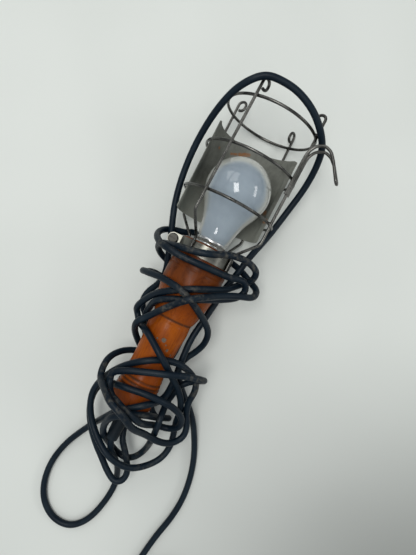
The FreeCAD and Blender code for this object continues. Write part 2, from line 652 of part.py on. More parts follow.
def hook():
    """A hairpin: two legs along the upper right wire that bend out, over and down again."""
    legs = []
    for side in (-1, 1):
        leg = []
        for radius, angle, t, twist in HOOK_LINE:
            a = math.radians(angle)
            w = math.radians(twist)
            aside = V(-math.sin(a), 0, math.cos(a)) * math.cos(w) + V(0, 1, 0) * math.sin(w)
            leg.append(about_cage(radius, angle, t) + aside * (side * HOOK_HALF_GAP))
        legs.append(leg)
    points = legs[0] + legs[1][::-1]
    return bent_wire(points, HOOK_BEND)


def skewed_slab(start, end):
    """The space between two stations, both ends slanting towards the tip with X."""
    reach = 60.0
    corners = []
    for side, t in ((-1, start), (1, start), (1, end), (-1, end)):
        corners.append(V(AXIS_X + side * reach, BUTT_Y + t + side * reach * TROUGH_SKEW, AXIS_Z - reach))
    return Part.Face(Part.makePolygon(corners + corners[:1])).extrude(V(0, 0, 2 * reach))


def reflector():
    """Half trough of thin sheet with splayed long edges."""
    spare = 6.0
    start, end = TROUGH_SPAN[0] - spare, TROUGH_SPAN[1] + spare
    first, last = TROUGH_ANGLES
    inner = TROUGH_R - SHEET
    corners = [about_cage(r, first, t) for r, t in
               ((inner, start), (TROUGH_R, start), (TROUGH_R, end), (inner, end))]
    face = Part.Face(Part.makePolygon(corners + corners[:1]))
    sheet = face.revolve(V(CAGE_X, 0, CAGE_Z), V(0, 1, 0), first - last)
    for angle, way in ((first, -1), (last, 1)):
        edge_angle = angle + way * LIP_TURN
        root_angle = angle - way * 0.4
        outline = [about_cage(r, a, start) for r, a in
                   ((inner, root_angle), (TROUGH_R, root_angle), (LIP_R, edge_angle), (LIP_R - SHEET, edge_angle))]
        lip = Part.Face(Part.makePolygon(outline + outline[:1])).extrude(V(0, end - start, 0))
        sheet = sheet.fuse(lip)
    return sheet.removeSplitter().common(skewed_slab(*TROUGH_SPAN))


def cord_stretches():
    """The loose cord in its stretches, cut halfway along the run between one stretch and the next."""
    points = [V(*p) for stretch in CORD_STRETCHES.values() for p in stretch]
    arcs = corner_arcs(points)
    print("cord: radii of the bends " + " ".join("%.0f" % arc[3] for arc in arcs))
    solids = {}
    first = 0
    for name, stretch in CORD_STRETCHES.items():
        last = first + len(stretch) - 1
        start = points[0] if first == 0 else (points[first - 1] + points[first]) * 0.5
        end = points[-1] if last == len(points) - 1 else (points[last] + points[last + 1]) * 0.5
        mine = arcs[max(first, 1) - 1:min(last, len(points) - 2)]
        edges = rounded_edges(start, mine, end)
        solids[name] = tube(edges, CORD_R)
        length = sum(edge.Length for edge in edges)
        full = math.pi * CORD_R ** 2 * length
        print("%s: length %.0f, volume %.0f of %.0f" % (name, length, solids[name].Volume, full))
        first = last + 1
    return solids, points[-1]


def half_turn(start, radius, heading, climb):
    """A half turn to the left of heading from start, rising by climb, as arcs, and where it ends."""
    left = V(-heading.y, heading.x, 0)
    centre = start + left * radius
    end = start + left * (2 * radius) + V(0, 0, climb)
    if climb == 0:
        return [Part.Arc(start, centre + heading * radius, end).toShape()], end
    reach = math.sqrt(radius ** 2 + climb ** 2 / 4)
    top = centre + heading * reach + V(0, 0, climb / 2)
    edges = []
    for foot, along in ((start, heading), (end, heading)):
        chord = top - foot
        normal = chord.cross(along)
        inward = along.cross(normal).normalize()
        bend = chord.Length ** 2 / (2 * abs(chord.dot(inward)))
        inward = inward * (1 if chord.dot(inward) > 0 else -1)
        hub = foot + inward * bend
        half = ((foot - hub).normalize() + (top - hub).normalize()).normalize()
        middle = hub + half * bend
        ends = (foot, middle, top) if foot is start else (top, middle, foot)
        edges.append(Part.Arc(*ends).toShape())
    return edges, end


def cord_coil(start):
    """The put-away length: in along the lower layer, up where it reverses, out along the upper."""
    heading = V(0, -1, 0)
    here = start + heading * CORD_D
    edges = [line(start, here)]
    steps = [(radius, 0) for radius in COIL_LOWER]
    steps.append((COIL_CLIMB, LAYER_STEP))
    steps += [(radius, 0) for radius in COIL_UPPER]
    for radius, climb in steps:
        turn, here = half_turn(here, radius, heading, climb)
        edges += turn
        heading = heading * -1
    end = here + heading * CORD_D
    edges.append(line(here, end))
    print_coil_gap(edges)
    return tube(edges, CORD_R), end


def print_coil_gap(edges):
    """Prints the coil's length and the least gap between its turns, measured on points."""
    points = []
    travelled = 0.0
    for edge in edges:
        count = max(2, int(edge.Length / 2))
        for k in range(count):
            u = edge.FirstParameter + (edge.LastParameter - edge.FirstParameter) * k / count
            points.append((travelled + edge.Length * k / count, edge.valueAt(u)))
        travelled += edge.Length
    least = min((a - b).Length for s, a in points for r, b in points if s - r > 3 * CORD_D)
    print("cord_coil: length %.0f, least gap %.2f" % (travelled, least - CORD_D))


def plug_lead(start):
    """The cord from the coil to the plug."""
    points = [start] + [start + V(*step) for step in PLUG_LEAD]
    arcs = corner_arcs(points)
    edges = rounded_edges(points[0], arcs, points[-1])
    print("cord_plug_lead: length %.0f" % sum(edge.Length for edge in edges))
    return tube(edges, CORD_R), points[-1]


def plug(start):
    """Strain relief, moulded body with two flats, and two pins, all along -Y from where the cord enters."""
    down = V(0, -1, 0)
    relief = Part.makeCone(*RELIEF_R, RELIEF_LENGTH, start, down)
    body_start = start + down * RELIEF_LENGTH
    shoulder = Part.makeCone(PLUG_NECK_R, PLUG_R, PLUG_SHOULDER, body_start, down)
    barrel_start = body_start + down * PLUG_SHOULDER
    barrel = Part.makeCylinder(PLUG_R, PLUG_LENGTH - PLUG_SHOULDER, barrel_start, down)
    body = shoulder.fuse(barrel).removeSplitter()
    corner = body_start - V(PLUG_R, PLUG_LENGTH, PLUG_FLAT)
    body = body.common(Part.makeBox(2 * PLUG_R, PLUG_LENGTH, 2 * PLUG_FLAT, corner))
    face = body_start + down * PLUG_LENGTH
    pins = []
    for side in (-1, 1):
        foot = face + V(side * PIN_SPACING / 2, 0, 0)
        pin = Part.makeCylinder(PIN_R, PIN_LENGTH, foot, down)
        end = [edge for edge in pin.Edges if abs(edge.CenterOfMass.y - foot.y + PIN_LENGTH) < 0.01]
        pins.append(pin.makeChamfer(PIN_CHAMFER, end))
    print("plug_pins: from %s" % face)
    return relief, body, Part.makeCompound(pins)


def main():
    parts = {
        "handle": handle(),
        "cord_sleeve": cord_sleeve(),
        "inner_cord": rod(CORD_R, SLEEVE_END, INNER_CORD_END),
        "cord_grip": cord_grip(),
        "cord_grip_screws": cord_grip_screws(),
        "live_core": conductor(1),
        "neutral_core": conductor(-1),
        "lampholder_body": lampholder_body(),
        "holder_screws": holder_screws(),
        "terminals": terminals(),
        "terminal_screws": terminal_screws(),
        "centre_contact": centre_contact(),
        "side_contact": side_contact(),
        "threaded_shell": threaded_shell(),
        "bulb_glass": bulb_glass(),
        "bulb_cap_shell": bulb_cap_shell(),
        "bulb_cap_insulator": bulb_cap_insulator(),
        "bulb_cap_contact": bulb_cap_contact(),
        "bulb_stem": bulb_stem(),
        "filament_wires": filament_wires(),
        "filament": filament(),
        "clamp_band": clamp_band(),
        "clamp_washer": clamp_washer(),
        "clamp_screw": clamp_screw(),
        "clamp_nut": clamp_nut(),
        "hook": hook(),
        "reflector": reflector(),
    }
    for name, bends in BARS.items():
        parts[name] = cage_bar(*bends)
    for number, t in enumerate(RING_STATIONS, 1):
        parts["cage_ring_%d" % number] = cage_ring(t)
    stretches, coil_start = cord_stretches()
    parts.update(stretches)
    parts["cord_coil"], coil_end = cord_coil(coil_start)
    parts["cord_plug_lead"], plug_start = plug_lead(coil_end)
    parts["plug_relief"], parts["plug_body"], parts["plug_pins"] = plug(plug_start)
    os.makedirs("parts", exist_ok=True)
    for name, shape in parts.items():
        if not shape.isValid():
            print("%s is not valid" % name)
        shape.exportStep("parts/%s.step" % name)
    lamp = Part.makeCompound([s for n, s in parts.items() if not n.startswith(("cord", "plug", "inner"))])
    print("parts: %d" % len(parts))
    print("lamp without its cord: %s" % lamp.optimalBoundingBox(False, False))


main()
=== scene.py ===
"""An inspection lamp on a pale table, with its cord wound round it. Names in capitals are in millimetres
and degrees; what reaches Blender is in metres. Stations along the lamp, t, count from the handle's butt."""
import json
import math
import random

import bmesh
import bpy
from mathutils import Matrix, Vector, noise


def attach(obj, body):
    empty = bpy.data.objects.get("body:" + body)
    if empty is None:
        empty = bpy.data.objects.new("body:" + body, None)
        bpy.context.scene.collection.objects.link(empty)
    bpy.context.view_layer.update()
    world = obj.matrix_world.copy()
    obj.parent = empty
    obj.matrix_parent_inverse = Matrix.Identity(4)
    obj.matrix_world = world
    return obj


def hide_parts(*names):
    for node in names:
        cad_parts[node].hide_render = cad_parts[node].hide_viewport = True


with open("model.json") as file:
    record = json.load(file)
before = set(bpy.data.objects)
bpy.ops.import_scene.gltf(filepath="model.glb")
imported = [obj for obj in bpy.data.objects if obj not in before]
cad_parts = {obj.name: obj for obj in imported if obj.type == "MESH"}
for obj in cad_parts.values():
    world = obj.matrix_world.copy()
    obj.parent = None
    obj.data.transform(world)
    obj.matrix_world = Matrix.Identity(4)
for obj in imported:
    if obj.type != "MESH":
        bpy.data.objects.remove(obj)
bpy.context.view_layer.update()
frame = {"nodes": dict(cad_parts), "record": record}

MM = 0.001

# The lamp's axis and the stations and radii that the pieces share with the solids
AXIS_X = -14.0
AXIS_Z = 45.0
BUTT_Y = -160.0
HEAD_END = 171.2
SEAT_R = 25.5
BAND_SPAN = (158.3, 169.9)
BAND_WALL = 0.95
CORD_D = 6.2
# The cage's own middle line, its rings, and its long wires outside them: angle at the knee and at the tip
CAGE_X = AXIS_X - 1.0
CAGE_Z = AXIS_Z + 1.0
WIRE_R = 1.35
RING_R = 44.65
RING_STATIONS = (212.3, 256.4, 300.1)
BAR_R = 47.4
BARS = ((118.5, 115.4), (217.0, 217.0), (305.2, 303.9), (31.4, 27.9))
BAR_KNEE_AT = 192.0
BAR_TIP_AT = 313.0
# The reflector: a trough about the cage's middle line, cut slightly askew, whose long edges splay out
TROUGH_R = 41.6
TROUGH_SPAN = (193.7, 283.3)
TROUGH_SKEW = 0.067
TROUGH_ANGLES = (176.0, 332.5)
SHEET = 0.6
LIP_R = 43.0
LIP_TURN = 5.0

# Camera: where it stands, how far its picture is turned, and its focal length for 36 mm along the long side
CAMERA_AT = (-2.0, -13.7, 433.0)
CAMERA_TURN = -27.11
CAMERA_LENS = 27.05


def point(x, y, z):
    return Vector((x, y, z)) * MM


def at(radius, angle, t):
    """The point at a radius and an angle round the lamp's axis."""
    a = math.radians(angle)
    return point(AXIS_X + radius * math.cos(a), BUTT_Y + t, AXIS_Z + radius * math.sin(a))


def about_cage(radius, angle, t):
    """The same round the cage's middle line."""
    return at(radius, angle, t) + point(CAGE_X - AXIS_X, 0, CAGE_Z - AXIS_Z)


# The camera

def add_camera():
    data = bpy.data.cameras.new("camera")
    data.sensor_width = 36.0
    data.lens = CAMERA_LENS
    data.clip_start = 0.01
    camera = bpy.data.objects.new("camera", data)
    camera.location = point(*CAMERA_AT)
    camera.rotation_euler = (0.0, 0.0, -math.radians(CAMERA_TURN))
    bpy.context.scene.collection.objects.link(camera)
    bpy.context.scene.camera = camera


add_camera()


# The cord

# Control points of its way from the sleeve to the coil. It follows the photograph as far as that shows it,
# and all heights are guessed.
CORD_WAY = [
    (-14, -188, 45), (-11, -199, 41), (-5, -209, 29), (3, -221, 17), (7, -234, 9), (10, -247, 4),
    (9, -266, 3.2), (3, -290, 3.2), (-10, -306, 3.2), (-28, -308, 3.2), (-45, -299, 3.2),
    (-56, -282, 3.2), (-60, -258, 3.2), (-55, -232, 4), (-43, -206, 11), (-34, -188, 22),
    (-25, -165, 56), (-20, -153, 70), (-11, -147, 69), (0, -138, 69), (8, -134, 61),
    (13, -129, 51), (14, -120, 43), (13, -106, 41), (11, -90, 41), (10, -72, 41), (13, -51, 39),
    (16, -28, 34), (18, -12, 35), (21, 2, 39), (24, 21, 42), (32, 48, 31), (37, 76, 31),
    (41, 101, 38), (41, 120, 48), (37, 134, 63), (26, 142, 78), (12, 150, 87), (-5, 156, 91),
    (-21, 157, 93), (-35, 155, 94), (-46, 146, 91), (-56, 135, 80), (-64, 115, 65), (-68, 88, 51),
    (-67, 60, 42), (-62, 33, 37), (-53, 9, 34), (-46, -12, 28), (-41, -29, 23), (-43, -42, 18),
    (-49, -52, 15), (-51, -63, 12), (-47, -72, 8), (-34, -83, 5), (-20, -88, 3.4), (-11, -98, 3.4),
    (-17, -108, 6), (-29, -107, 15),
    (-36, -98, 28), (-41, -87, 48), (-41, -77, 62), (-34, -69, 63), (-26, -58, 71), (-18, -48, 81),
    (-11, -40, 90), (-4, -34, 91), (5, -29, 82), (15, -23, 71), (30, -16, 62), (44, -12, 51),
    (45, -4, 43), (37, 0, 37), (25, 6, 30), (12, 10, 22), (0, 12, 10), (-20, 18, 9), (-36, 21, 14),
    (-41, 16, 20), (-53, 13, 24), (-62, 8, 32), (-63, 1, 47), (-56, -5, 63), (-44, -7, 75),
    (-29, -8, 77), (-12, -7, 78), (4, -6, 71), (17, -5, 63), (22, -3, 58), (30, -2, 54),
    (35, -10, 50), (30, -19, 51), (18, -26, 60), (5, -32, 70), (-9, -39, 74), (-23, -45, 72),
    (-34, -52, 66), (-38, -63, 48), (-39, -74, 35), (-37, -84, 25), (-30, -94, 17), (-18, -95, 13),
    (-8, -85, 12), (-5, -68, 12), (-10, -50, 12), (-20, -35, 11), (-34, -22, 11),
    (-46, -17, 16), (-54, -14, 25), (-58, -9, 37), (-56, -5, 51), (-46, -3, 62), (-35, -1, 75),
    (-21, 1, 80), (-8, 5, 80), (5, 12, 73), (18, 15, 64), (29, 14, 58), (36, 10, 53), (36, 2, 47),
    (30, -4, 44), (23, -11, 49), (15, -18, 62), (0, -24, 75), (-14, -31, 76), (-28, -40, 72),
    (-38, -48, 61), (-45, -59, 51), (-49, -68, 44), (-47, -73, 38), (-40, -81, 41), (-29, -80, 65),
    (-20, -85, 69), (-10, -91, 73), (0, -98, 71), (9, -108, 57),
    (20, -118, 47), (28, -128, 41), (33, -140, 35), (34, -153, 28), (38, -166, 23), (41, -179, 22),
    (38, -193, 24), (28, -204, 28), (16, -210, 34), (3, -208, 42), (-11, -203, 46),
    (-25, -195, 43), (-39, -183, 40), (-47, -169, 42), (-50, -154, 44), (-45, -137, 51),
    (-37, -123, 57), (-27, -111, 65), (-14, -101, 68), (-2, -96, 63), (10, -95, 56), (22, -98, 51),
    (33, -105, 46), (36, -116, 43), (35, -126, 40), (38, -138, 37), (45, -149, 34), (47, -161, 33),
    (39, -170, 37), (27, -170, 48), (12, -164, 60), (-1, -157, 81), (-10, -147, 93),
    (-18, -143, 95), (-27, -141, 92), (-36, -138, 81), (-47, -138, 60), (-50, -129, 56),
    (-50, -120, 48), (-44, -113, 38), (-36, -110, 27),
    (-28, -108, 24), (-14, -112, 19), (-4, -122, 14), (-4, -136, 12), (-9, -152, 13),
    (-12, -168, 19), (-6, -191, 26), (2, -200, 26), (9, -209, 26), (15, -219, 26), (14, -228, 27),
    (7, -232, 27), (-3, -227, 26), (-14, -218, 25), (-26, -208, 25), (-37, -195, 28),
    (-47, -178, 30), (-50, -161, 33), (-46, -148, 37), (-40, -141, 48), (-27, -133, 68),
    (-16, -131, 69), (-3, -129, 69), (11, -129, 67), (24, -132, 58), (36, -140, 47),
    (39, -152, 39), (31, -161, 31), (18, -162, 34), (5, -154, 70), (-5, -147, 83), (-14, -144, 85),
    (-23, -141, 83), (-31, -141, 75), (-37, -136, 65), (-40, -126, 67),
    (-29, -118, 71), (-12, -111, 72), (4, -105, 72), (17, -101, 67), (29, -99, 61), (38, -99, 53),
    (39, -102, 41), (32, -108, 33), (22, -117, 31), (18, -131, 35), (17, -140, 43), (18, -150, 53),
    (20, -166, 48), (21, -191, 21), (16, -204, 19), (8, -211, 17), (-2, -211, 16), (-14, -204, 21),
    (-24, -185, 49), (-25, -170, 61), (-21, -158, 74), (-13, -152, 76), (-5, -148, 74),
    (5, -148, 61), (15, -155, 36), (22, -155, 27), (28, -155, 20), (24, -160, 11), (15, -166, 7),
    (4, -157, 4), (-2, -142, 3.4), (0, -122, 3.4), (3, -98, 3.4), (2, -74, 3.4), (-7, -53, 3.4),
    (-26, -39, 4), (-43, -34, 9), (-54, -33, 21),
    (-59, -36, 37), (-59, -35, 48), (-51, -34, 59), (-40, -32, 69), (-29, -32, 78), (-18, -33, 84),
    (-7, -37, 84), (4, -44, 70), (14, -51, 55), (22, -59, 46), (24, -71, 38), (20, -83, 33),
    (14, -93, 31),
    (12, -105, 27), (19, -117, 22), (28, -127, 20), (39, -136, 19), (50, -148, 16), (61, -167, 8),
    (70, -186, 3.2), (76, -206, 3.2), (79, -229, 3.2), (77, -252, 3.2), (72, -273, 3.2),
    (69, -292, 3.2), (67, -310, 3.1), (67, -326, 3.1),
]
# The put-away coil: the radii of its half turns, and where it climbs to the upper layer
HALF_TURNS = [(36.6, 0.0), (33.2, 0.0), (29.8, 0.0), (26.4, CORD_D + 0.6), (29.8, 0.0), (33.2, 0.0)]
POINTS_PER_HALF_TURN = 8
# From the coil to the plug
PLUG_LEAD = [(0, -12, 0), (0.5, -24, 1), (1, -36, 4), (1.5, -48, 6.1), (1.5, -60, 6.1)]
CORD_NODES = [
    "cord_floor_loop", "cord_cage_loop", "cord_collar_lower_wrap", "cord_collar_middle_wrap",
    "cord_collar_upper_wrap", "cord_butt_ring", "cord_butt_hairpin", "cord_butt_arc", "cord_waist_wrap",
    "cord_tail", "cord_coil", "cord_plug_lead"]


def coil_points(start):
    """Control points of the coil's half turns, each to the left of where the cord is heading."""
    heading = Vector((0, -1, 0))
    here = start + heading * CORD_D
    points = [here.copy()]
    step = math.pi / POINTS_PER_HALF_TURN
    for radius, climb in HALF_TURNS:
        left = Vector((-heading.y, heading.x, 0))
        centre = here + left * radius
        outer = radius / math.cos(step / 2)
        for k in range(POINTS_PER_HALF_TURN):
            a = step * (k + 0.5)
            rise = Vector((0, 0, climb * (k + 0.5) / POINTS_PER_HALF_TURN))
            points.append(centre - left * (outer * math.cos(a)) + heading * (outer * math.sin(a)) + rise)
        here = here + left * (2 * radius) + Vector((0, 0, climb))
        heading = -heading
    points.append(here + heading * CORD_D)
    return points


def add_cord():
    """The whole cord as one smooth curve."""
    way = [Vector(p) for p in CORD_WAY]
    way += coil_points(way[-1])
    coil_end = way[-1]
    way += [coil_end + Vector(step) for step in PLUG_LEAD]
    data = bpy.data.curves.new("cord", "CURVE")
    data.dimensions = "3D"
    # The points' radii carry the cord's radius, so that the curve's own box is right
    data.bevel_depth = 1.0
    data.bevel_resolution = 7
    data.resolution_u = 10
    data.use_fill_caps = True
    spline = data.splines.new("NURBS")
    spline.points.add(len(way) - 1)
    for control, p in zip(spline.points, way):
        control.co = (p.x * MM, p.y * MM, p.z * MM, 1.0)
        control.radius = CORD_D / 2 * MM
    spline.order_u = 3
    spline.use_endpoint_u = True
    cord = bpy.data.objects.new("cord", data)
    bpy.context.scene.collection.objects.link(cord)
    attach(cord, "lamp")
    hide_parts(*CORD_NODES)
    return cord, way[-1]


# Node materials

class Shader:
    """A material and the few node groups that every material here is built from."""

    def __init__(self, name, roughness=0.5, metallic=0.0):
        self.material = bpy.data.materials.new(name)
        self.material.use_nodes = True
        self.tree = self.material.node_tree
        self.surface = self.tree.nodes["Principled BSDF"]
        self.set("Roughness", roughness)
        self.set("Metallic", metallic)
        self.texture_place = self.tree.nodes.new("ShaderNodeTexCoord").outputs["Object"]

    def set(self, socket, value):
        """A value or another node's output for one of the surface's sockets."""
        if isinstance(value, bpy.types.NodeSocket):
            self.tree.links.new(value, self.surface.inputs[socket])
        else:
            self.surface.inputs[socket].default_value = value

    def node(self, kind, inputs, **settings):
        node = self.tree.nodes.new(kind)
        for key, value in settings.items():
            setattr(node, key, value)
        for key, value in inputs.items():
            if isinstance(value, bpy.types.NodeSocket):
                self.tree.links.new(value, node.inputs[key])
            elif value is not None:
                node.inputs[key].default_value = value
        return node

    def math(self, operation, a, b=0.0, clamp=False):
        node = self.node("ShaderNodeMath", {0: a, 1: b}, operation=operation, use_clamp=clamp)
        return node.outputs[0]

    def stretched(self, stretch, shift=(0, 0, 0)):
        """Object coordinates in millimetres, multiplied by stretch."""
        scale = [s / MM for s in stretch]
        inputs = {"Vector": self.texture_place, "Scale": scale, "Location": shift}
        return self.node("ShaderNodeMapping", inputs).outputs[0]

    def noise(self, size, stretch=(1, 1, 1), detail=4.0, roughness=0.55, distortion=0.0, shift=(0, 0, 0)):
        """Noise whose patches are about that many millimetres wide."""
        where = self.stretched([s / size for s in stretch], shift)
        inputs = {
            "Vector": where, "Scale": 1.0, "Detail": detail, "Roughness": roughness, "Distortion": distortion}
        return self.node("ShaderNodeTexNoise", inputs).outputs[0]

    def between(self, value, low, high, out_low=0.0, out_high=1.0):
        """A smooth step of value from low to high."""
        inputs = {"Value": value, "From Min": low, "From Max": high, "To Min": out_low, "To Max": out_high}
        return self.node("ShaderNodeMapRange", inputs, interpolation_type="SMOOTHSTEP").outputs[0]

    def mix(self, factor, a, b, blend="MIX"):
        """Colour a, turning to b with factor."""
        node = self.node("ShaderNodeMix", {}, data_type="RGBA", blend_type=blend)
        for index, value in ((0, factor), (6, a), (7, b)):
            if isinstance(value, bpy.types.NodeSocket):
                self.tree.links.new(value, node.inputs[index])
            else:
                node.inputs[index].default_value = value if index == 0 else (*value, 1.0)
        return node.outputs[2]

    def bump(self, height, distance, strength=1.0):
        """Bumps that stand distance millimetres high."""
        inputs = {"Height": height, "Distance": distance * MM, "Strength": strength}
        self.set("Normal", self.node("ShaderNodeBump", inputs).outputs[0])

    def part(self, source, name):
        """One of x, y and z of a vector."""
        return self.node("ShaderNodeSeparateXYZ", {0: source}).outputs[name]

    def upward(self):
        """How far the surface faces up, from -1 to 1."""
        normal = self.tree.nodes.new("ShaderNodeTexCoord").outputs["Normal"]
        return self.part(normal, "Z")

    def near(self, centre, radius):
        """One at a point given in millimetres, and nothing farther than radius from it."""
        inputs = {0: self.texture_place, 1: point(*centre)}
        away = self.node("ShaderNodeVectorMath", inputs, operation="DISTANCE").outputs["Value"]
        return self.between(away, radius * MM, 0.35 * radius * MM)

    def near_any(self, spots):
        """The same for several (centre, radius) spots."""
        total = self.near(*spots[0])
        for spot in spots[1:]:
            total = self.math("MAXIMUM", total, self.near(*spot))
        return total

    def radius(self):
        """Millimetres from the lamp's axis."""
        x = self.math("SUBTRACT", self.part(self.texture_place, "X"), AXIS_X * MM)
        z = self.math("SUBTRACT", self.part(self.texture_place, "Z"), AXIS_Z * MM)
        square = self.math("ADD", self.math("MULTIPLY", x, x), self.math("MULTIPLY", z, z))
        return self.math("DIVIDE", self.math("SQRT", square), MM)

    def station(self):
        """Millimetres from the butt."""
        y = self.math("DIVIDE", self.part(self.texture_place, "Y"), MM)
        return self.math("SUBTRACT", y, BUTT_Y)


# Places on the cord that are rubbed grey, and how far each reaches
RUBBED = [
    ((-50, -137, 62), 26), ((-25, -142, 90), 24), ((8, -152, 66), 22), ((-20, -52, 82), 20),
    ((-5, -35, 92), 26), ((-55, -5, 60), 20), ((10, 12, 74), 26), ((34, 12, 55), 18), ((18, -190, 30), 26),
    ((28, -104, 62), 20), ((40, -110, 45), 16), ((-30, 0, 78), 16), ((44, -14, 52), 14)]


def cord_material(name, rubbed, base=(0.0016, 0.0064, 0.0130)):
    """Matt blue-black rubber, dusty on top and rubbed grey where it has been handled."""
    shader = Shader(name, roughness=0.6)
    patches = shader.noise(34, detail=3.0)
    grain = shader.noise(0.9, detail=5.0, roughness=0.7)
    fine = shader.noise(0.25, detail=2.0)
    colour = shader.mix(shader.between(patches, 0.4, 0.65), base, (0.0036, 0.0098, 0.0170))
    dust = shader.between(shader.upward(), 0.35, 1.0)
    dust = shader.math("MULTIPLY", dust, shader.between(shader.noise(16, detail=5.0), 0.42, 0.72, 0.12, 0.75))
    dust = shader.math("MULTIPLY", dust, shader.between(grain, 0.3, 0.62, 0.35, 1.0))
    colour = shader.mix(dust, colour, (0.010, 0.019, 0.027))
    if rubbed:
        worn = shader.math("MULTIPLY", shader.near_any(rubbed), shader.between(shader.upward(), -0.1, 0.8))
        patchy = shader.between(shader.noise(5, detail=6.0, roughness=0.65), 0.46, 0.68)
        worn = shader.math("MULTIPLY", worn, patchy)
        colour = shader.mix(worn, colour, (0.062, 0.060, 0.052))
    shader.set("Base Color", colour)
    shader.set("Roughness", shader.between(grain, 0.3, 0.7, 0.32, 0.52))
    shader.set("Specular IOR Level", 0.15)
    height = shader.math("ADD", shader.math("MULTIPLY", grain, 0.7), shader.math("MULTIPLY", fine, 0.3))
    shader.bump(height, 0.12, 0.6)
    return shader.material


# Chips in the handle's varnish: angle round the axis, station, width across and along
CHIPS = [
    (82, 79, 2.6, 1.8), (59, 71.5, 1.7, 1.3), (101, 78, 1.1, 1.0), (38, 68, 1.3, 0.9), (70, 75.5, 0.8, 0.6)]
WAIST_R = 18.2
# Turned grooves: station and depth. The last one is at the head and holds no dirt.
GROOVES = [(28.5, 0.55), (32.5, 0.55), (36.5, 0.5), (146.0, 0.4)]
CREASE = 98.0


def wood_material():
    """Turned wood under worn orange varnish, browner at the head, with dirt in its grooves."""
    shader = Shader("varnished_wood", roughness=0.36)
    t = shader.station()
    wide = shader.noise(26, stretch=(1, 0.45, 1), detail=4.0, distortion=0.5)
    streaks = shader.noise(1.7, stretch=(1, 0.05, 1), detail=6.0, roughness=0.65)
    hair = shader.noise(0.6, stretch=(1, 0.03, 1), detail=3.0)
    blotches = shader.noise(9, detail=6.0, roughness=0.6, distortion=0.4)
    fine = shader.noise(0.5, detail=4.0)
    colour = shader.mix(shader.between(wide, 0.36, 0.64), (0.215, 0.044, 0.003), (0.30, 0.071, 0.0045))
    colour = shader.mix(shader.between(streaks, 0.46, 0.70, 0.0, 0.5), colour, (0.13, 0.024, 0.003))
    colour = shader.mix(shader.between(hair, 0.52, 0.74, 0.0, 0.4), colour, (0.09, 0.018, 0.003))
    colour = shader.mix(shader.between(blotches, 0.56, 0.74, 0.0, 0.5), colour, (0.12, 0.025, 0.008))
    head = shader.math("ADD", t, shader.between(wide, 0.3, 0.7, -14.0, 14.0))
    brown = shader.mix(shader.between(blotches, 0.4, 0.6), (0.045, 0.012, 0.004), (0.10, 0.025, 0.005))
    colour = shader.mix(shader.between(head, 112, 140, 0.0, 0.82), colour, brown)
    colour = shader.mix(shader.between(head, 24, 6, 0.0, 0.45), colour, (0.11, 0.026, 0.008))
    dirt = None
    for station in [groove for groove, _ in GROOVES[:3]] + [CREASE]:
        off = shader.math("ABSOLUTE", shader.math("SUBTRACT", t, station))
        line = shader.between(off, 2.0, 0.1)
        dirt = line if dirt is None else shader.math("MAXIMUM", dirt, line)
    dirt = shader.math("MULTIPLY", dirt, shader.between(blotches, 0.3, 0.5, 0.35, 0.85))
    colour = shader.mix(dirt, colour, (0.035, 0.016, 0.009))
    worn = shader.between(shader.radius(), 25.2, 26.4)
    worn = shader.math("MULTIPLY", worn, shader.between(t, HEAD_END - 2.2, HEAD_END))
    butt_edge = shader.between(t, 4.5, 2.0)
    butt_edge = shader.math("MULTIPLY", butt_edge, shader.between(shader.radius(), 12.0, 16.0))
    worn = shader.math("MAXIMUM", worn, butt_edge)
    worn = shader.math("MULTIPLY", worn, shader.between(blotches, 0.42, 0.56))
    colour = shader.mix(worn, colour, (0.42, 0.20, 0.075))
    chips = None
    for angle, station, across, _ in CHIPS:
        centre = at(WAIST_R, angle, station) / MM
        spot = shader.near(centre, across * 1.25)
        chips = spot if chips is None else shader.math("MAXIMUM", chips, spot)
    ragged = shader.math("MULTIPLY", shader.noise(1.6, detail=5.0, roughness=0.7), 1.5)
    chips = shader.between(shader.math("ADD", chips, ragged), 1.05, 1.45, 0.0, 0.9)
    chipped = shader.mix(shader.between(fine, 0.35, 0.6), (0.045, 0.040, 0.032), (0.14, 0.135, 0.115))
    colour = shader.mix(chips, colour, chipped)
    bare = shader.between(shader.radius(), 22.6, 21.9)
    bare = shader.math("MULTIPLY", bare, shader.between(t, 119, 120))
    colour = shader.mix(bare, colour, (0.30, 0.16, 0.075))
    shader.set("Base Color", colour)
    rough = shader.between(blotches, 0.35, 0.65, 0.24, 0.46)
    rough = shader.math("MAXIMUM", rough, shader.math("MULTIPLY", chips, 0.85))
    shader.set("Roughness", shader.math("MAXIMUM", rough, shader.math("MULTIPLY", dirt, 0.7)))
    shader.set("Specular IOR Level", 0.11)
    height = shader.math("ADD", shader.math("MULTIPLY", streaks, 0.55), shader.math("MULTIPLY", fine, 0.2))
    height = shader.math("ADD", height, shader.math("MULTIPLY", blotches, 0.6))
    shader.bump(height, 0.22, 0.5)
    return shader.material


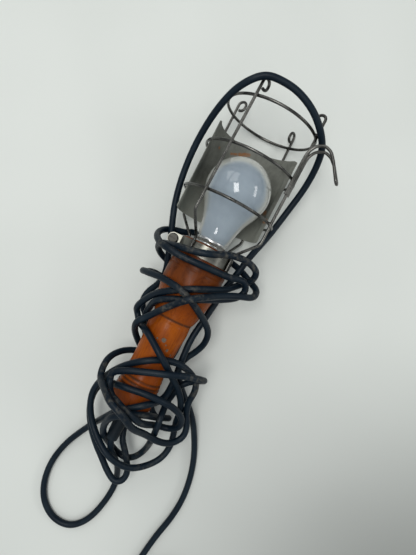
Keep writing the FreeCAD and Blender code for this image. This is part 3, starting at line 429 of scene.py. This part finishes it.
def steel_material(
        name, dark, light, roughness=0.42, metallic=1.0, rust=0.0, rust_spots=(), scratches=(1, 1, 1),
        bumps=0.5, painted_light_stations=None):
    """Dull steel with stains, fine scratches and, where asked, rust, and painted light: a lightening of the
    colour that is strongest at the first of two stations and ends at the second."""
    shader = Shader(name, roughness=roughness, metallic=metallic)
    wide = shader.noise(15, detail=5.0, roughness=0.6)
    fine = shader.noise(1.2, stretch=scratches, detail=6.0, roughness=0.65)
    grit = shader.noise(0.35, detail=3.0)
    colour = shader.mix(shader.between(wide, 0.35, 0.65), dark, light)
    colour = shader.mix(shader.between(fine, 0.5, 0.75, 0.0, 0.55), colour, [c * 0.55 for c in dark])
    if painted_light_stations:
        brightest_at, ends_at = painted_light_stations
        # Painted light: the colour lightens towards the first station, where the sheet lies in shade.
        dust = shader.between(shader.station(), ends_at, brightest_at, 0.0, 0.5)
        colour = shader.mix(dust, colour, [c * 2.4 for c in light])
    metal = None
    if rust or rust_spots:
        stains = shader.noise(4.5, detail=7.0, roughness=0.7, shift=(3, 7, 1))
        spots = shader.between(stains, 0.74 - rust, 0.8 - rust)
        if rust_spots:
            ragged = shader.noise(3.0, detail=6.0, roughness=0.75)
            ragged = shader.math("ADD", shader.near_any(rust_spots), shader.math("MULTIPLY", ragged, 1.8))
            spots = shader.math("MAXIMUM", spots if rust else 0.0, shader.between(ragged, 1.3, 2.1, 0.0, 0.9))
        rusty = shader.mix(shader.between(grit, 0.35, 0.65), (0.16, 0.060, 0.018), (0.33, 0.135, 0.035))
        colour = shader.mix(spots, colour, rusty)
        metal = shader.between(spots, 0.0, 1.0, metallic, 0.05)
    shader.set("Base Color", colour)
    rough = shader.between(wide, 0.3, 0.7, roughness - 0.08, roughness + 0.12)
    if metal is not None:
        shader.set("Metallic", metal)
        rough = shader.math("MAXIMUM", rough, shader.between(metal, 1.0, 0.0, 0.0, 0.85))
    shader.set("Roughness", rough)
    height = shader.math("ADD", shader.math("MULTIPLY", fine, 0.6), shader.math("MULTIPLY", grit, 0.4))
    shader.bump(height, 0.06, bumps)
    return shader.material


def moulded_material(name, colour, roughness=0.5, speckle=0.12, coat=0.0):
    """Moulded or pressed stuff with a faint unevenness in its colour and gloss."""
    shader = Shader(name, roughness=roughness)
    wide = shader.noise(12, detail=4.0)
    fine = shader.noise(0.6, detail=5.0, roughness=0.65)
    darker = [c * (1 - speckle * 1.6) for c in colour]
    tone = shader.mix(shader.between(wide, 0.35, 0.65), darker, colour)
    darkest = [c * (1 - speckle * 2.4) for c in colour]
    tone = shader.mix(shader.between(fine, 0.52, 0.75, 0.0, 0.6), tone, darkest)
    shader.set("Base Color", tone)
    shader.set("Roughness", shader.between(fine, 0.3, 0.7, roughness - 0.08, roughness + 0.1))
    shader.set("Coat Weight", coat)
    shader.set("Coat Roughness", 0.12)
    shader.bump(fine, 0.05, 0.4)
    return shader.material


def opal_glass_material():
    """Opal glass: smooth, bluish white, with a painted pale rim where the surface turns away from the view,
    and faint dust.
    """
    shader = Shader("opal_glass", roughness=0.07)
    wide = shader.noise(22, detail=3.0)
    dust = shader.noise(1.4, detail=6.0, roughness=0.7)
    colour = shader.mix(shader.between(wide, 0.35, 0.65), (0.25, 0.30, 0.345), (0.28, 0.335, 0.38))
    facing = shader.node("ShaderNodeLayerWeight", {"Blend": 0.35}).outputs["Facing"]
    colour = shader.mix(shader.between(dust, 0.6, 0.85, 0.0, 0.25), colour, (0.40, 0.40, 0.36))
    # Painted sheen: the colour turns paler where the surface faces away from the view.
    colour = shader.mix(shader.between(facing, 0.26, 0.50), colour, (0.43, 0.44, 0.405))
    shader.set("Base Color", colour)
    shader.set("Roughness", shader.between(dust, 0.45, 0.8, 0.05, 0.2))
    shader.set("Coat Weight", shader.between(facing, 0.1, 0.9, 0.25, 0.6))
    shader.set("Coat Roughness", 0.03)
    shader.set("Subsurface Weight", 0.25)
    shader.set("Subsurface Radius", (0.012, 0.012, 0.014))
    shader.set("Subsurface Scale", 0.3)
    shader.set("IOR", 1.5)
    return shader.material


def clear_glass_material():
    shader = Shader("clear_glass", roughness=0.04)
    streak = shader.noise(3, stretch=(1, 0.3, 1), detail=3.0)
    tint = shader.mix(shader.between(streak, 0.4, 0.6), (0.75, 0.82, 0.82), (0.85, 0.9, 0.9))
    shader.set("Base Color", tint)
    shader.set("Transmission Weight", 0.85)
    shader.bump(streak, 0.05, 0.3)
    return shader.material


def in_trough(x, y):
    """The point on the inside of the reflector's sheet that is at x and y."""
    return (x, y, CAGE_Z - math.sqrt((TROUGH_R - SHEET) ** 2 - (x - CAGE_X) ** 2))


RUST_ON_REFLECTOR = [(in_trough(-50, 104.5), 2.8), (in_trough(19, 68), 5), (in_trough(22, 60), 5)]
RUST_ON_REFLECTOR += [(in_trough(-38.0 + 1.6 * k, 108.2 + 0.86 * k), 2.3) for k in range(5)]
RUST_ON_REFLECTOR += [(in_trough(-30.0 + 1.6 * k, 112.8 + 0.86 * k), 3.4) for k in range(6)]

MATERIALS = {
    "wood": wood_material(),
    "cord_rubber": cord_material("cord_rubber", RUBBED),
    "sleeve_rubber": cord_material("sleeve_rubber", None, base=(0.004, 0.007, 0.010)),
    "plug_rubber": cord_material("plug_rubber", None, base=(0.008, 0.009, 0.010)),
    "brass": steel_material("dull_brass", (0.42, 0.26, 0.09), (0.62, 0.42, 0.17), roughness=0.36),
    "wire": steel_material("dull_wire", (0.055, 0.055, 0.051), (0.125, 0.123, 0.115), 0.22, rust=0.02),
    # The sheet's colour is lightened by painted light from station 238 down to station 200, where it lies in
    # shade.
    "galvanised": steel_material(
        "galvanised_sheet", (0.12, 0.125, 0.107), (0.18, 0.186, 0.162), 0.48, metallic=0.3,
        rust_spots=RUST_ON_REFLECTOR, scratches=(1, 0.25, 1), painted_light_stations=(200, 238)),
    "band": steel_material(
        "stained_band", (0.11, 0.11, 0.096), (0.19, 0.188, 0.168), 0.31, rust=0.02, bumps=0.15),
    "screw_steel": steel_material(
        "screw_steel", (0.055, 0.054, 0.048), (0.10, 0.098, 0.088), 0.52, rust=0.02, bumps=0.25),
    "opal_glass": opal_glass_material(),
    "clear_glass": clear_glass_material(),
    "cap_metal": steel_material(
        "bright_cap", (0.40, 0.41, 0.41), (0.52, 0.53, 0.53), 0.22, scratches=(1, 4, 1), bumps=0.12),
    "cap_glass": moulded_material("black_cap_glass", (0.015, 0.015, 0.016), 0.15, coat=0.4),
    "tungsten": steel_material("drawn_wire", (0.14, 0.14, 0.14), (0.3, 0.3, 0.3), 0.35),
    "porcelain": moulded_material("glazed_porcelain", (0.66, 0.65, 0.60), 0.18, speckle=0.05, coat=0.6),
    "fibre": moulded_material("pressed_fibre", (0.10, 0.045, 0.02), 0.6),
    "core_brown": moulded_material("brown_core", (0.12, 0.05, 0.02), 0.4),
    "core_blue": moulded_material("blue_core", (0.03, 0.09, 0.32), 0.4),
}


def paint(piece, slot):
    """The finish of one of the record's slots, on a new piece."""
    piece.data.materials.clear()
    piece.data.materials.append(MATERIALS[slot])


def paint_cad_nodes():
    """The same for every solid that is shown as it is."""
    slots = {row["node"]: row["material_slot"] for row in frame["record"]["subparts"]}
    for node, slot in slots.items():
        solid = frame["nodes"][node]
        for material_slot in solid.material_slots:
            material_slot.material = MATERIALS[slot]


# Meshes

def add_piece(name, mesh, body, slot, *nodes, sharp=35.0):
    """A mesh as a piece that rides on a body, wears a slot's finish and stands for the nodes named."""
    piece = bpy.data.objects.new(name, mesh)
    bpy.context.scene.collection.objects.link(piece)
    mesh.shade_smooth()
    mesh.set_sharp_from_angle(angle=math.radians(sharp))
    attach(piece, body)
    paint(piece, slot)
    if nodes:
        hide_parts(*nodes)
    return piece


def closed_mesh(name, build):
    """A mesh from a function that fills a bmesh."""
    mesh = bpy.data.meshes.new(name)
    work = bmesh.new()
    build(work)
    bmesh.ops.recalc_face_normals(work, faces=work.faces)
    work.to_mesh(mesh)
    work.free()
    return mesh


def grid_faces(work, rows, wrap_rows, wrap_columns):
    """Quads between rows of points, with each row or the rows as a whole closed into a ring."""
    count = len(rows)
    width = len(rows[0])
    for i in range(count if wrap_rows else count - 1):
        for j in range(width if wrap_columns else width - 1):
            here, after = rows[i], rows[(i + 1) % count]
            k = (j + 1) % width
            work.faces.new((here[j], here[k], after[k], after[j]))


def turned(name, profile, segments=96, change=None):
    """A closed outline of (radius, station) points turned about the lamp's axis. change(radius, angle, t) may
    give each point another radius."""
    def build(work):
        rows = []
        for radius, t in profile:
            row = []
            for k in range(segments):
                angle = 360.0 * k / segments
                here = radius if change is None else change(radius, angle, t)
                row.append(work.verts.new(at(here, angle, t)))
            rows.append(row)
        grid_faces(work, rows, True, True)
    return closed_mesh(name, build)


def smooth_points(points, step):
    """Points about step apart along a smooth line through the given (radius, station) points."""
    out = []
    ends = [points[0]] + list(points) + [points[-1]]
    for a, b, c, d in zip(ends, ends[1:], ends[2:], ends[3:]):
        count = max(1, round(math.hypot(c[0] - b[0], c[1] - b[1]) / step))
        for k in range(count):
            u = k / count
            out.append(tuple(0.5 * (
                2 * b[i] + (c[i] - a[i]) * u + (2 * a[i] - 5 * b[i] + 4 * c[i] - d[i]) * u ** 2
                + (3 * b[i] - a[i] - 3 * c[i] + d[i]) * u ** 3) for i in (0, 1)))
    out.append(tuple(points[-1]))
    return out


def straight_points(points, step):
    """The same along straight lines."""
    out = []
    for a, b in zip(points, points[1:]):
        count = max(1, round(math.hypot(b[0] - a[0], b[1] - a[1]) / step))
        out += [(a[0] + (b[0] - a[0]) * k / count, a[1] + (b[1] - a[1]) * k / count) for k in range(count)]
    out.append(tuple(points[-1]))
    return out


# The handle

BUTT_OUTLINE = [(13.5, 0), (17.0, 2.5), (19.3, 6), (20.5, 16), (19.8, 28)]
WAIST_OUTLINE = [(19.8, 28), (18.8, 37), (17.6, 48), (17.4, 58), (18.0, 72), (19.2, 87), (18.8, 97.6)]
HEAD_OUTLINE = [(19.2, 98.4), (21.5, 104), (24.4, 117), (26.8, 131), (26.8, 148), (26.5, 157.5)]
HANDLE_STEP = 0.7
BORES_R = 12.0           # what lies nearer to the axis than this is the inside of a bore
SHOULDER_AT = 157.6


def handle_radius(radius, angle, t):
    """The turned radius with grooves, chips and the small unevenness of worn wood."""
    if radius < BORES_R or t > SHOULDER_AT and radius < SEAT_R - 0.9:
        return radius
    a = math.radians(angle)
    where = Vector((radius * math.cos(a), t * 0.6, radius * math.sin(a)))
    out = radius
    if t < 157.5:
        out += 0.16 * noise.noise(where * 0.09) + 0.05 * noise.noise(where * 0.45)
    for station, depth in GROOVES:
        off = t - station - 0.25 * math.sin(a + station)
        out -= depth * math.exp(-(off / 0.75) ** 2)
    wander = 0.8 * math.sin(2 * a + 0.6) + 0.5 * math.sin(5 * a)
    out -= 0.45 * math.exp(-((t - CREASE + 3.2 - wander) / 0.45) ** 2) * max(0.0, math.sin(a + 0.3))
    for chip_angle, station, across, along in CHIPS:
        around = math.radians(((angle - chip_angle + 180) % 360) - 180) * radius
        off = math.hypot(around / across, (t - station) / along)
        rim = 1.0 + 0.3 * noise.noise(Vector((around * 1.5, t * 1.5, 0.0)))
        if off < 2.0:
            out -= 0.32 / (1 + math.exp((off - rim) * 9))
    return out


def add_handle():
    outside = smooth_points(BUTT_OUTLINE, HANDLE_STEP)[:-1]
    outside += smooth_points(WAIST_OUTLINE, HANDLE_STEP) + smooth_points(HEAD_OUTLINE, HANDLE_STEP)
    rim = [(26.3, 157.9), (25.9, 158.0), (SEAT_R, 158.1), (SEAT_R, 170.2), (25.3, 170.8), (24.8, HEAD_END)]
    inside = [
        (22.0, HEAD_END), (21.6, 170.8), (21.6, 120), (13, 120), (13, 100), (4.5, 100), (4.5, 18), (7, 18)]
    profile = [(7.0, 0.9), (7.4, 0.2), (8.0, 0)] + outside + rim + inside
    mesh = turned("handle", profile, segments=160, change=handle_radius)
    add_piece("turned_handle", mesh, "lamp", "wood", "handle", sharp=50)


def add_sleeve():
    """The tapered sleeve, cut square, with a bead where it meets the wood and two faint mould rings."""
    outside = [(6.85, 17.0), (6.85, 0.4), (7.35, 0.1), (7.5, -0.9), (7.1, -1.8), (6.75, -2.2)]
    outside += straight_points([(6.6, -4), (5.6, -26.2)], 1.2) + [(5.5, -27.2), (5.2, -27.8), (4.7, -28)]
    inside = [(3.5, -28), (3.2, -27.6), (3.2, 17.0)]

    def mould_rings(radius, angle, t):
        ring = sum(math.exp(-((t - station) / 0.5) ** 2) for station in (-8.0, -10.6, -20.5))
        return radius + (0.22 * ring if radius > 4.5 else 0.0)
    mesh = turned("sleeve", outside + inside, segments=64, change=mould_rings)
    return add_piece("tapered_sleeve", mesh, "lamp", "sleeve_rubber", "cord_sleeve")


# The reflector

def reflector_radius(angle, t):
    """The sheet's outer radius: a trough whose long edges splay out, with a few dents."""
    first, last = TROUGH_ANGLES
    past = max(first - angle, angle - last, 0.0) / LIP_TURN
    radius = TROUGH_R + (LIP_R - TROUGH_R) * past
    where = Vector((angle * 0.05, t * 0.045, 0.0))
    dents = 0.28 * noise.noise(where) + 0.1 * noise.noise(where * 3.1)
    return radius - 0.12 + dents * (1.0 - 0.6 * min(past, 1.0))


def add_reflector():
    first, last = TROUGH_ANGLES
    start, end = TROUGH_SPAN
    columns = 132
    rows = 64

    def sheet_point(i, j, inset):
        angle = first - LIP_TURN + (last - first + 2 * LIP_TURN) * i / columns
        t = start + 0.15 + (end - start - 0.3) * j / rows
        corner = min(i, columns - i) / columns * 160 / 4.0
        along = min(j, rows - j) * (end - start) / rows / 2.6
        inward = 1.3 * max(0.0, 1 - corner) * max(0.0, 1 - along)
        t += inward if j < rows / 2 else -inward
        spot = about_cage(reflector_radius(angle, t) - inset, angle, t)
        spot.y += TROUGH_SKEW * (spot.x - AXIS_X * MM)
        return spot

    def build(work):
        sides = []
        for inset in (0.0, SHEET):
            sides.append([[work.verts.new(sheet_point(i, j, inset)) for j in range(rows + 1)]
                          for i in range(columns + 1)])
        for side in sides:
            grid_faces(work, side, False, False)
        outer, inner = sides
        for i in range(columns):
            for j in (0, rows):
                work.faces.new((outer[i][j], outer[i + 1][j], inner[i + 1][j], inner[i][j]))
        for j in range(rows):
            for i in (0, columns):
                work.faces.new((outer[i][j], outer[i][j + 1], inner[i][j + 1], inner[i][j]))
    add_piece("trough_sheet", closed_mesh("reflector", build), "reflector", "galvanised", "reflector")


# The bulb

CAP_RIM = 178.0
THREAD_PITCH = 3.629
GLOBE_R = 31.0
GLOBE_AT = 230.6
GLOBE_BEGINS = -20       # the angle below its widest place at which the neck meets the round globe
GLASS_WALL = 0.9
CAP_THREAD = (157.5, 173.4)


def glass_outline(inset):
    """The envelope from its foot in the cap to its top."""
    radius = GLOBE_R - inset
    foot = [(14.3, CAP_RIM - 1.0), (14.36, 178.2), (15.2, 180.6), (15.9, 183), (16.75, 188), (17.9, 192.8),
            (20.4, 200.5), (23.1, 206.8), (26.2, 213.0)]
    a = math.radians(GLOBE_BEGINS)
    join = (radius * math.cos(a), GLOBE_AT + radius * math.sin(a))
    neck = smooth_points([(r - inset, t) for r, t in foot] + [join], 1.2)
    globe = []
    for degrees in range(GLOBE_BEGINS + 3, 90, 3):
        a = math.radians(degrees)
        globe.append((radius * math.cos(a), GLOBE_AT + radius * math.sin(a)))
    return neck + globe + [(0.15, GLOBE_AT + radius)]


def add_bulb():
    mesh = turned("glass", glass_outline(0.0) + glass_outline(GLASS_WALL)[::-1], segments=128)
    add_piece("bulb_envelope", mesh, "bulb", "opal_glass", "bulb_glass", sharp=60)

    def thread(radius, angle, t):
        """A rolled right-hand thread that fades out towards both ends."""
        first, last = CAP_THREAD
        if not first < t < last:
            return radius
        ends = min(1.0, (t - first) / 1.6, (last - t) / 1.6)
        return radius + 0.45 * ends * math.cos(2 * math.pi * (t / THREAD_PITCH + angle / 360.0))
    outside = [(8.0, 153.6), (9.2, 154.3), (10.6, 155.4), (12.0, 156.8)]
    outside += straight_points([(12.55, 157.6), (12.65, 173.5)], 0.3) + [(12.95, 173.9), (13.35, 174.4)]
    outside += [
        (14.1, 174.95), (14.5, 175.35), (14.72, 175.9), (14.75, 176.6), (14.75, 177.3), (14.68, 177.75),
        (14.55, CAP_RIM)]
    inside = [(14.4, CAP_RIM), (14.4, 176.0), (14.1, 175.4), (12.95, 174.5)]
    inside += straight_points([(12.3, 173.5), (12.2, 157.6)], 0.3)
    inside += [(11.6, 157.0), (10.3, 155.9), (8.9, 154.9), (8.0, 154.2)]
    mesh = turned("cap", outside + inside, segments=96, change=thread)
    add_piece("bulb_cap", mesh, "bulb", "cap_metal", "bulb_cap_shell", sharp=45)


def add_threaded_shell():
    """The holder's brass shell with the matching thread."""
    def thread(radius, angle, t):
        ends = max(0.0, min(1.0, (t - 141.0) / 2.0, (168.2 - t) / 1.2))
        return radius - 0.22 * ends * (1 - math.cos(2 * math.pi * (t / THREAD_PITCH + angle / 360.0)))
    wall = 0.4
    outside = straight_points([(13.85, 140), (13.85, 169)], 0.4)
    inside = [(radius - wall, t) for radius, t in outside[::-1]]
    mesh = turned("shell", outside + inside, segments=96, change=thread)
    add_piece("threaded_brass_shell", mesh, "lamp", "brass", "threaded_shell", sharp=45)


# The clamp and the cage

def add_band():
    """The band's strap with its edges rolled a little outwards."""
    start, end = BAND_SPAN
    low, high = SEAT_R + 0.06, SEAT_R + BAND_WALL

    def edge(t):
        near = min(t - start, end - t)
        return 0.3 * math.exp(-(near / 0.7) ** 2)
    gap = math.degrees(1.3 / SEAT_R)
    steps = 120

    def build(work):
        rows = []
        stations = [start + (end - start) * k / 16 for k in range(17)]
        for k in range(steps + 1):
            angle = 180 + gap + (360 - 2 * gap) * k / steps
            row = [work.verts.new(at(low, angle, t)) for t in stations]
            for t in stations[::-1]:
                dent = 0.04 * noise.noise(Vector((angle * 0.06, t * 0.2, 2)))
                row.append(work.verts.new(at(high - 0.12 + edge(t) * 0.4 + dent, angle, t)))
            rows.append(row)
        grid_faces(work, rows, False, True)
        work.faces.new(rows[0])
        work.faces.new(rows[-1][::-1])
    add_piece("band_strap", closed_mesh("band", build), "lamp", "band", sharp=40)


def add_weld(name, centre, size, seed):
    """A bead of weld, lumpy and longer than it is wide."""
    rng = random.Random(seed)
    offset = Vector((rng.uniform(0, 50), rng.uniform(0, 50), 0))

    def build(work):
        bmesh.ops.create_icosphere(work, subdivisions=3, radius=1.0)
        for vert in work.verts:
            lump = 1 + 0.22 * noise.noise(vert.co * 1.6 + offset)
            vert.co = centre + Vector(side * reach for side, reach in zip(vert.co, size)) * lump * MM
    add_piece(name, closed_mesh(name, build), "lamp", "wire", sharp=180)


def bar_angle(bar, t):
    """The angle of a long wire at a station."""
    knee, tip = BARS[bar]
    return knee + (tip - knee) * (t - BAR_KNEE_AT) / (BAR_TIP_AT - BAR_KNEE_AT)


def add_welds():
    """Beads where the rings cross the long wires, and where the hook's legs lie beside the last of them."""
    seed = 1
    crossing_r = RING_R + WIRE_R
    for ring, t in enumerate(RING_STATIONS, 1):
        for bar in range(len(BARS)):
            centre = about_cage(crossing_r, bar_angle(bar, t), t)
            add_weld("weld_%d_%d" % (ring, bar + 1), centre, (1.55, 1.75, 1.55), seed)
            seed += 1
    beside = math.degrees(1.5 / BAR_R)
    for number, (side, t) in enumerate([(-1, 243.0), (1, 243.0), (-1, 262.0), (1, 262.0)], 1):
        centre = about_cage(BAR_R, bar_angle(3, t) + side * beside, t)
        add_weld("hook_weld_%d" % number, centre, (1.3, 2.6, 1.3), seed)
        seed += 1


# The plug

RELIEF_LENGTH = 22.0
RIB_SPACING = 3.6
# The body: its length, how far in from the relief it is full, and the radius and half thickness that it has
# there and where it begins
PLUG_LENGTH = 36.0
PLUG_FULL_AT = 15.0
PLUG_R = 17.75
PLUG_START_R = 6.6
PLUG_FLAT = 15.75
PLUG_START_FLAT = 6.4
PLUG_MOST_FLAT = 15.8
PLUG_EDGE = 1.6          # length of the rounding at its front
GRIP_SPAN = (17, 32)
GRIP_SPACING = 3.0
GRIP_FROM = 0.62         # the share of the reach past which the grip's ribs begin


def plug_frame(entry):
    """Where the plug's pieces are: x and z away from its middle line, and d past where the cord enters."""
    def spot(x, d, z):
        return Vector((entry.x + x, entry.y - d, entry.z + z)) * MM
    return spot


def add_plug(entry):
    spot = plug_frame(entry)

    def relief(work):
        rows = []
        steps = 110
        for k in range(steps + 1):
            d = RELIEF_LENGTH * k / steps
            outer = 4.1 + 1.7 * (d / RELIEF_LENGTH) ** 1.2
            ridge = 0.5 + 0.5 * math.cos(2 * math.pi * d / RIB_SPACING)
            radius = outer - 0.75 * (1 - ridge) ** 2 * (1 if 1.2 < d < 20.5 else 0)
            if d == 0:
                radius = outer - 0.5
            rows.append([work.verts.new(spot(radius * math.cos(a), d, radius * math.sin(a)))
                         for a in (2 * math.pi * j / 48 for j in range(48))])
        grid_faces(work, rows, False, True)
        work.faces.new(rows[0])
        work.faces.new(rows[-1][::-1])
    relief_mesh = closed_mesh("relief", relief)
    relief_piece = add_piece("ribbed_relief", relief_mesh, "lamp", "sleeve_rubber", "plug_relief")

    def body(work):
        rows = []
        steps = 72
        for k in range(steps + 1):
            d = PLUG_LENGTH * k / steps
            grow = min(1.0, d / PLUG_FULL_AT)
            swell = math.sin(grow * math.pi / 2)
            reach = PLUG_START_R + (PLUG_R - PLUG_START_R) * swell ** 1.1
            end = max(0.0, (d - (PLUG_LENGTH - PLUG_EDGE)) / PLUG_EDGE)
            reach -= 1.5 * (1 - math.sqrt(max(0.0, 1 - end ** 2)))
            row = []
            for j in range(96):
                a = 2 * math.pi * j / 96
                x, z = reach * math.cos(a), reach * math.sin(a)
                flat = PLUG_START_FLAT + (PLUG_FLAT - PLUG_START_FLAT) * swell
                if abs(z) > flat:
                    z = math.copysign(flat + 0.12 * (abs(z) - flat), z)
                first, last = GRIP_SPAN
                grip = 0.0
                if first < d < last:
                    grip = 0.55 * (0.5 - 0.5 * math.cos(2 * math.pi * (d - first) / GRIP_SPACING))
                if abs(x) > GRIP_FROM * reach:
                    x -= math.copysign(grip * min(1.0, (abs(x) / reach - GRIP_FROM) / 0.15), x)
                z = max(-PLUG_MOST_FLAT, min(PLUG_MOST_FLAT, z))
                row.append(work.verts.new(spot(x, RELIEF_LENGTH + d, z)))
            rows.append(row)
        grid_faces(work, rows, False, True)
        work.faces.new(rows[0])
        work.faces.new(rows[-1][::-1])
    body_mesh = closed_mesh("plug", body)
    body_piece = add_piece("plug_moulding", body_mesh, "lamp", "plug_rubber", "plug_body", sharp=40)
    return [relief_piece, body_piece]


# The table, the lights and the picture's rendering

LIGHTS = [
    # name, direction from the lamp, distance, width, height, power
    ("window_above", (-0.133, -0.025, 0.990), 1.35, 0.38, 0.72, 8.2),
    ("window_right", (0.806, 0.296, 0.513), 1.35, 0.22, 0.72, 2.6),
    ("window_foot", (0.118, -0.78, 0.612), 1.35, 0.18, 0.30, 0.8),
    ("ceiling_left", (-0.55, 0.45, 0.70), 1.7, 1.1, 1.1, 6.5),
]
# The picture's right and down on the table
PICTURE_RIGHT = Vector((0.89, 0.4557, 0.0))
PICTURE_DOWN = Vector((0.4557, -0.89, 0.0))


def add_floor():
    """A pale table top, with painted shadow darkening it towards one corner of the picture."""
    bpy.ops.mesh.primitive_plane_add(size=1.5, location=(0, -0.1, -0.0006))
    floor = bpy.context.object
    floor.name = "table"
    shader = Shader("pale_table", roughness=0.55)
    wide = shader.noise(260, detail=2.0)
    colour = shader.mix(shader.between(wide, 0.3, 0.7), (0.62, 0.645, 0.615), (0.655, 0.68, 0.65))
    # Painted shadow: the colour darkens towards the picture's lower right and fades out again away from the
    # lamp.
    painted_shadow = None
    shadow_ramps = [(PICTURE_DOWN, -0.05, 0.28, 0.0, 1.0), (PICTURE_RIGHT, -0.16, 0.26, 0.0, 0.62)]
    for heading, start, end, low, high in shadow_ramps:
        inputs = {0: shader.texture_place, 1: heading}
        along = shader.node("ShaderNodeVectorMath", inputs, operation="DOT_PRODUCT").outputs["Value"]
        step = shader.between(along, start, end, low, high)
        painted_shadow = step if painted_shadow is None else shader.math("MULTIPLY", painted_shadow, step)
    away = shader.node("ShaderNodeVectorMath", {0: shader.texture_place}, operation="LENGTH").outputs["Value"]
    painted_shadow = shader.math("MULTIPLY", painted_shadow, shader.between(away, 0.60, 0.40))
    colour = shader.mix(painted_shadow, colour, (0.0, 0.0, 0.0))
    shader.set("Base Color", colour)
    shader.set("Specular IOR Level", 0.25)
    floor.data.materials.append(shader.material)


def add_lights():
    target = point(-14, 10, 45)
    for name, direction, distance, width, height, power in LIGHTS:
        data = bpy.data.lights.new(name, "AREA")
        data.shape = "RECTANGLE"
        data.size = width
        data.size_y = height
        data.energy = power
        data.color = (1.0, 0.99, 0.965)
        lamp = bpy.data.objects.new(name, data)
        way = Vector(direction).normalized()
        lamp.location = target + way * distance
        across = (-PICTURE_DOWN).cross(way).normalized()
        lamp.rotation_euler = Matrix((across, way.cross(across), way)).transposed().to_euler()
        bpy.context.scene.collection.objects.link(lamp)
    world = bpy.data.worlds.new("studio")
    world.use_nodes = True
    background = world.node_tree.nodes["Background"]
    background.inputs["Color"].default_value = (0.93, 0.97, 1.0, 1.0)
    background.inputs["Strength"].default_value = 0.47
    bpy.context.scene.world = world
    bpy.context.scene.view_settings.view_transform = "Standard"


cord, plug_entry = add_cord()
paint(cord, "cord_rubber")
paint_cad_nodes()
add_handle()
sleeve = add_sleeve()
add_reflector()
add_bulb()
add_threaded_shell()
add_band()
add_welds()
plug_pieces = add_plug(plug_entry)
add_floor()
add_lights()

bpy.context.view_layer.update()
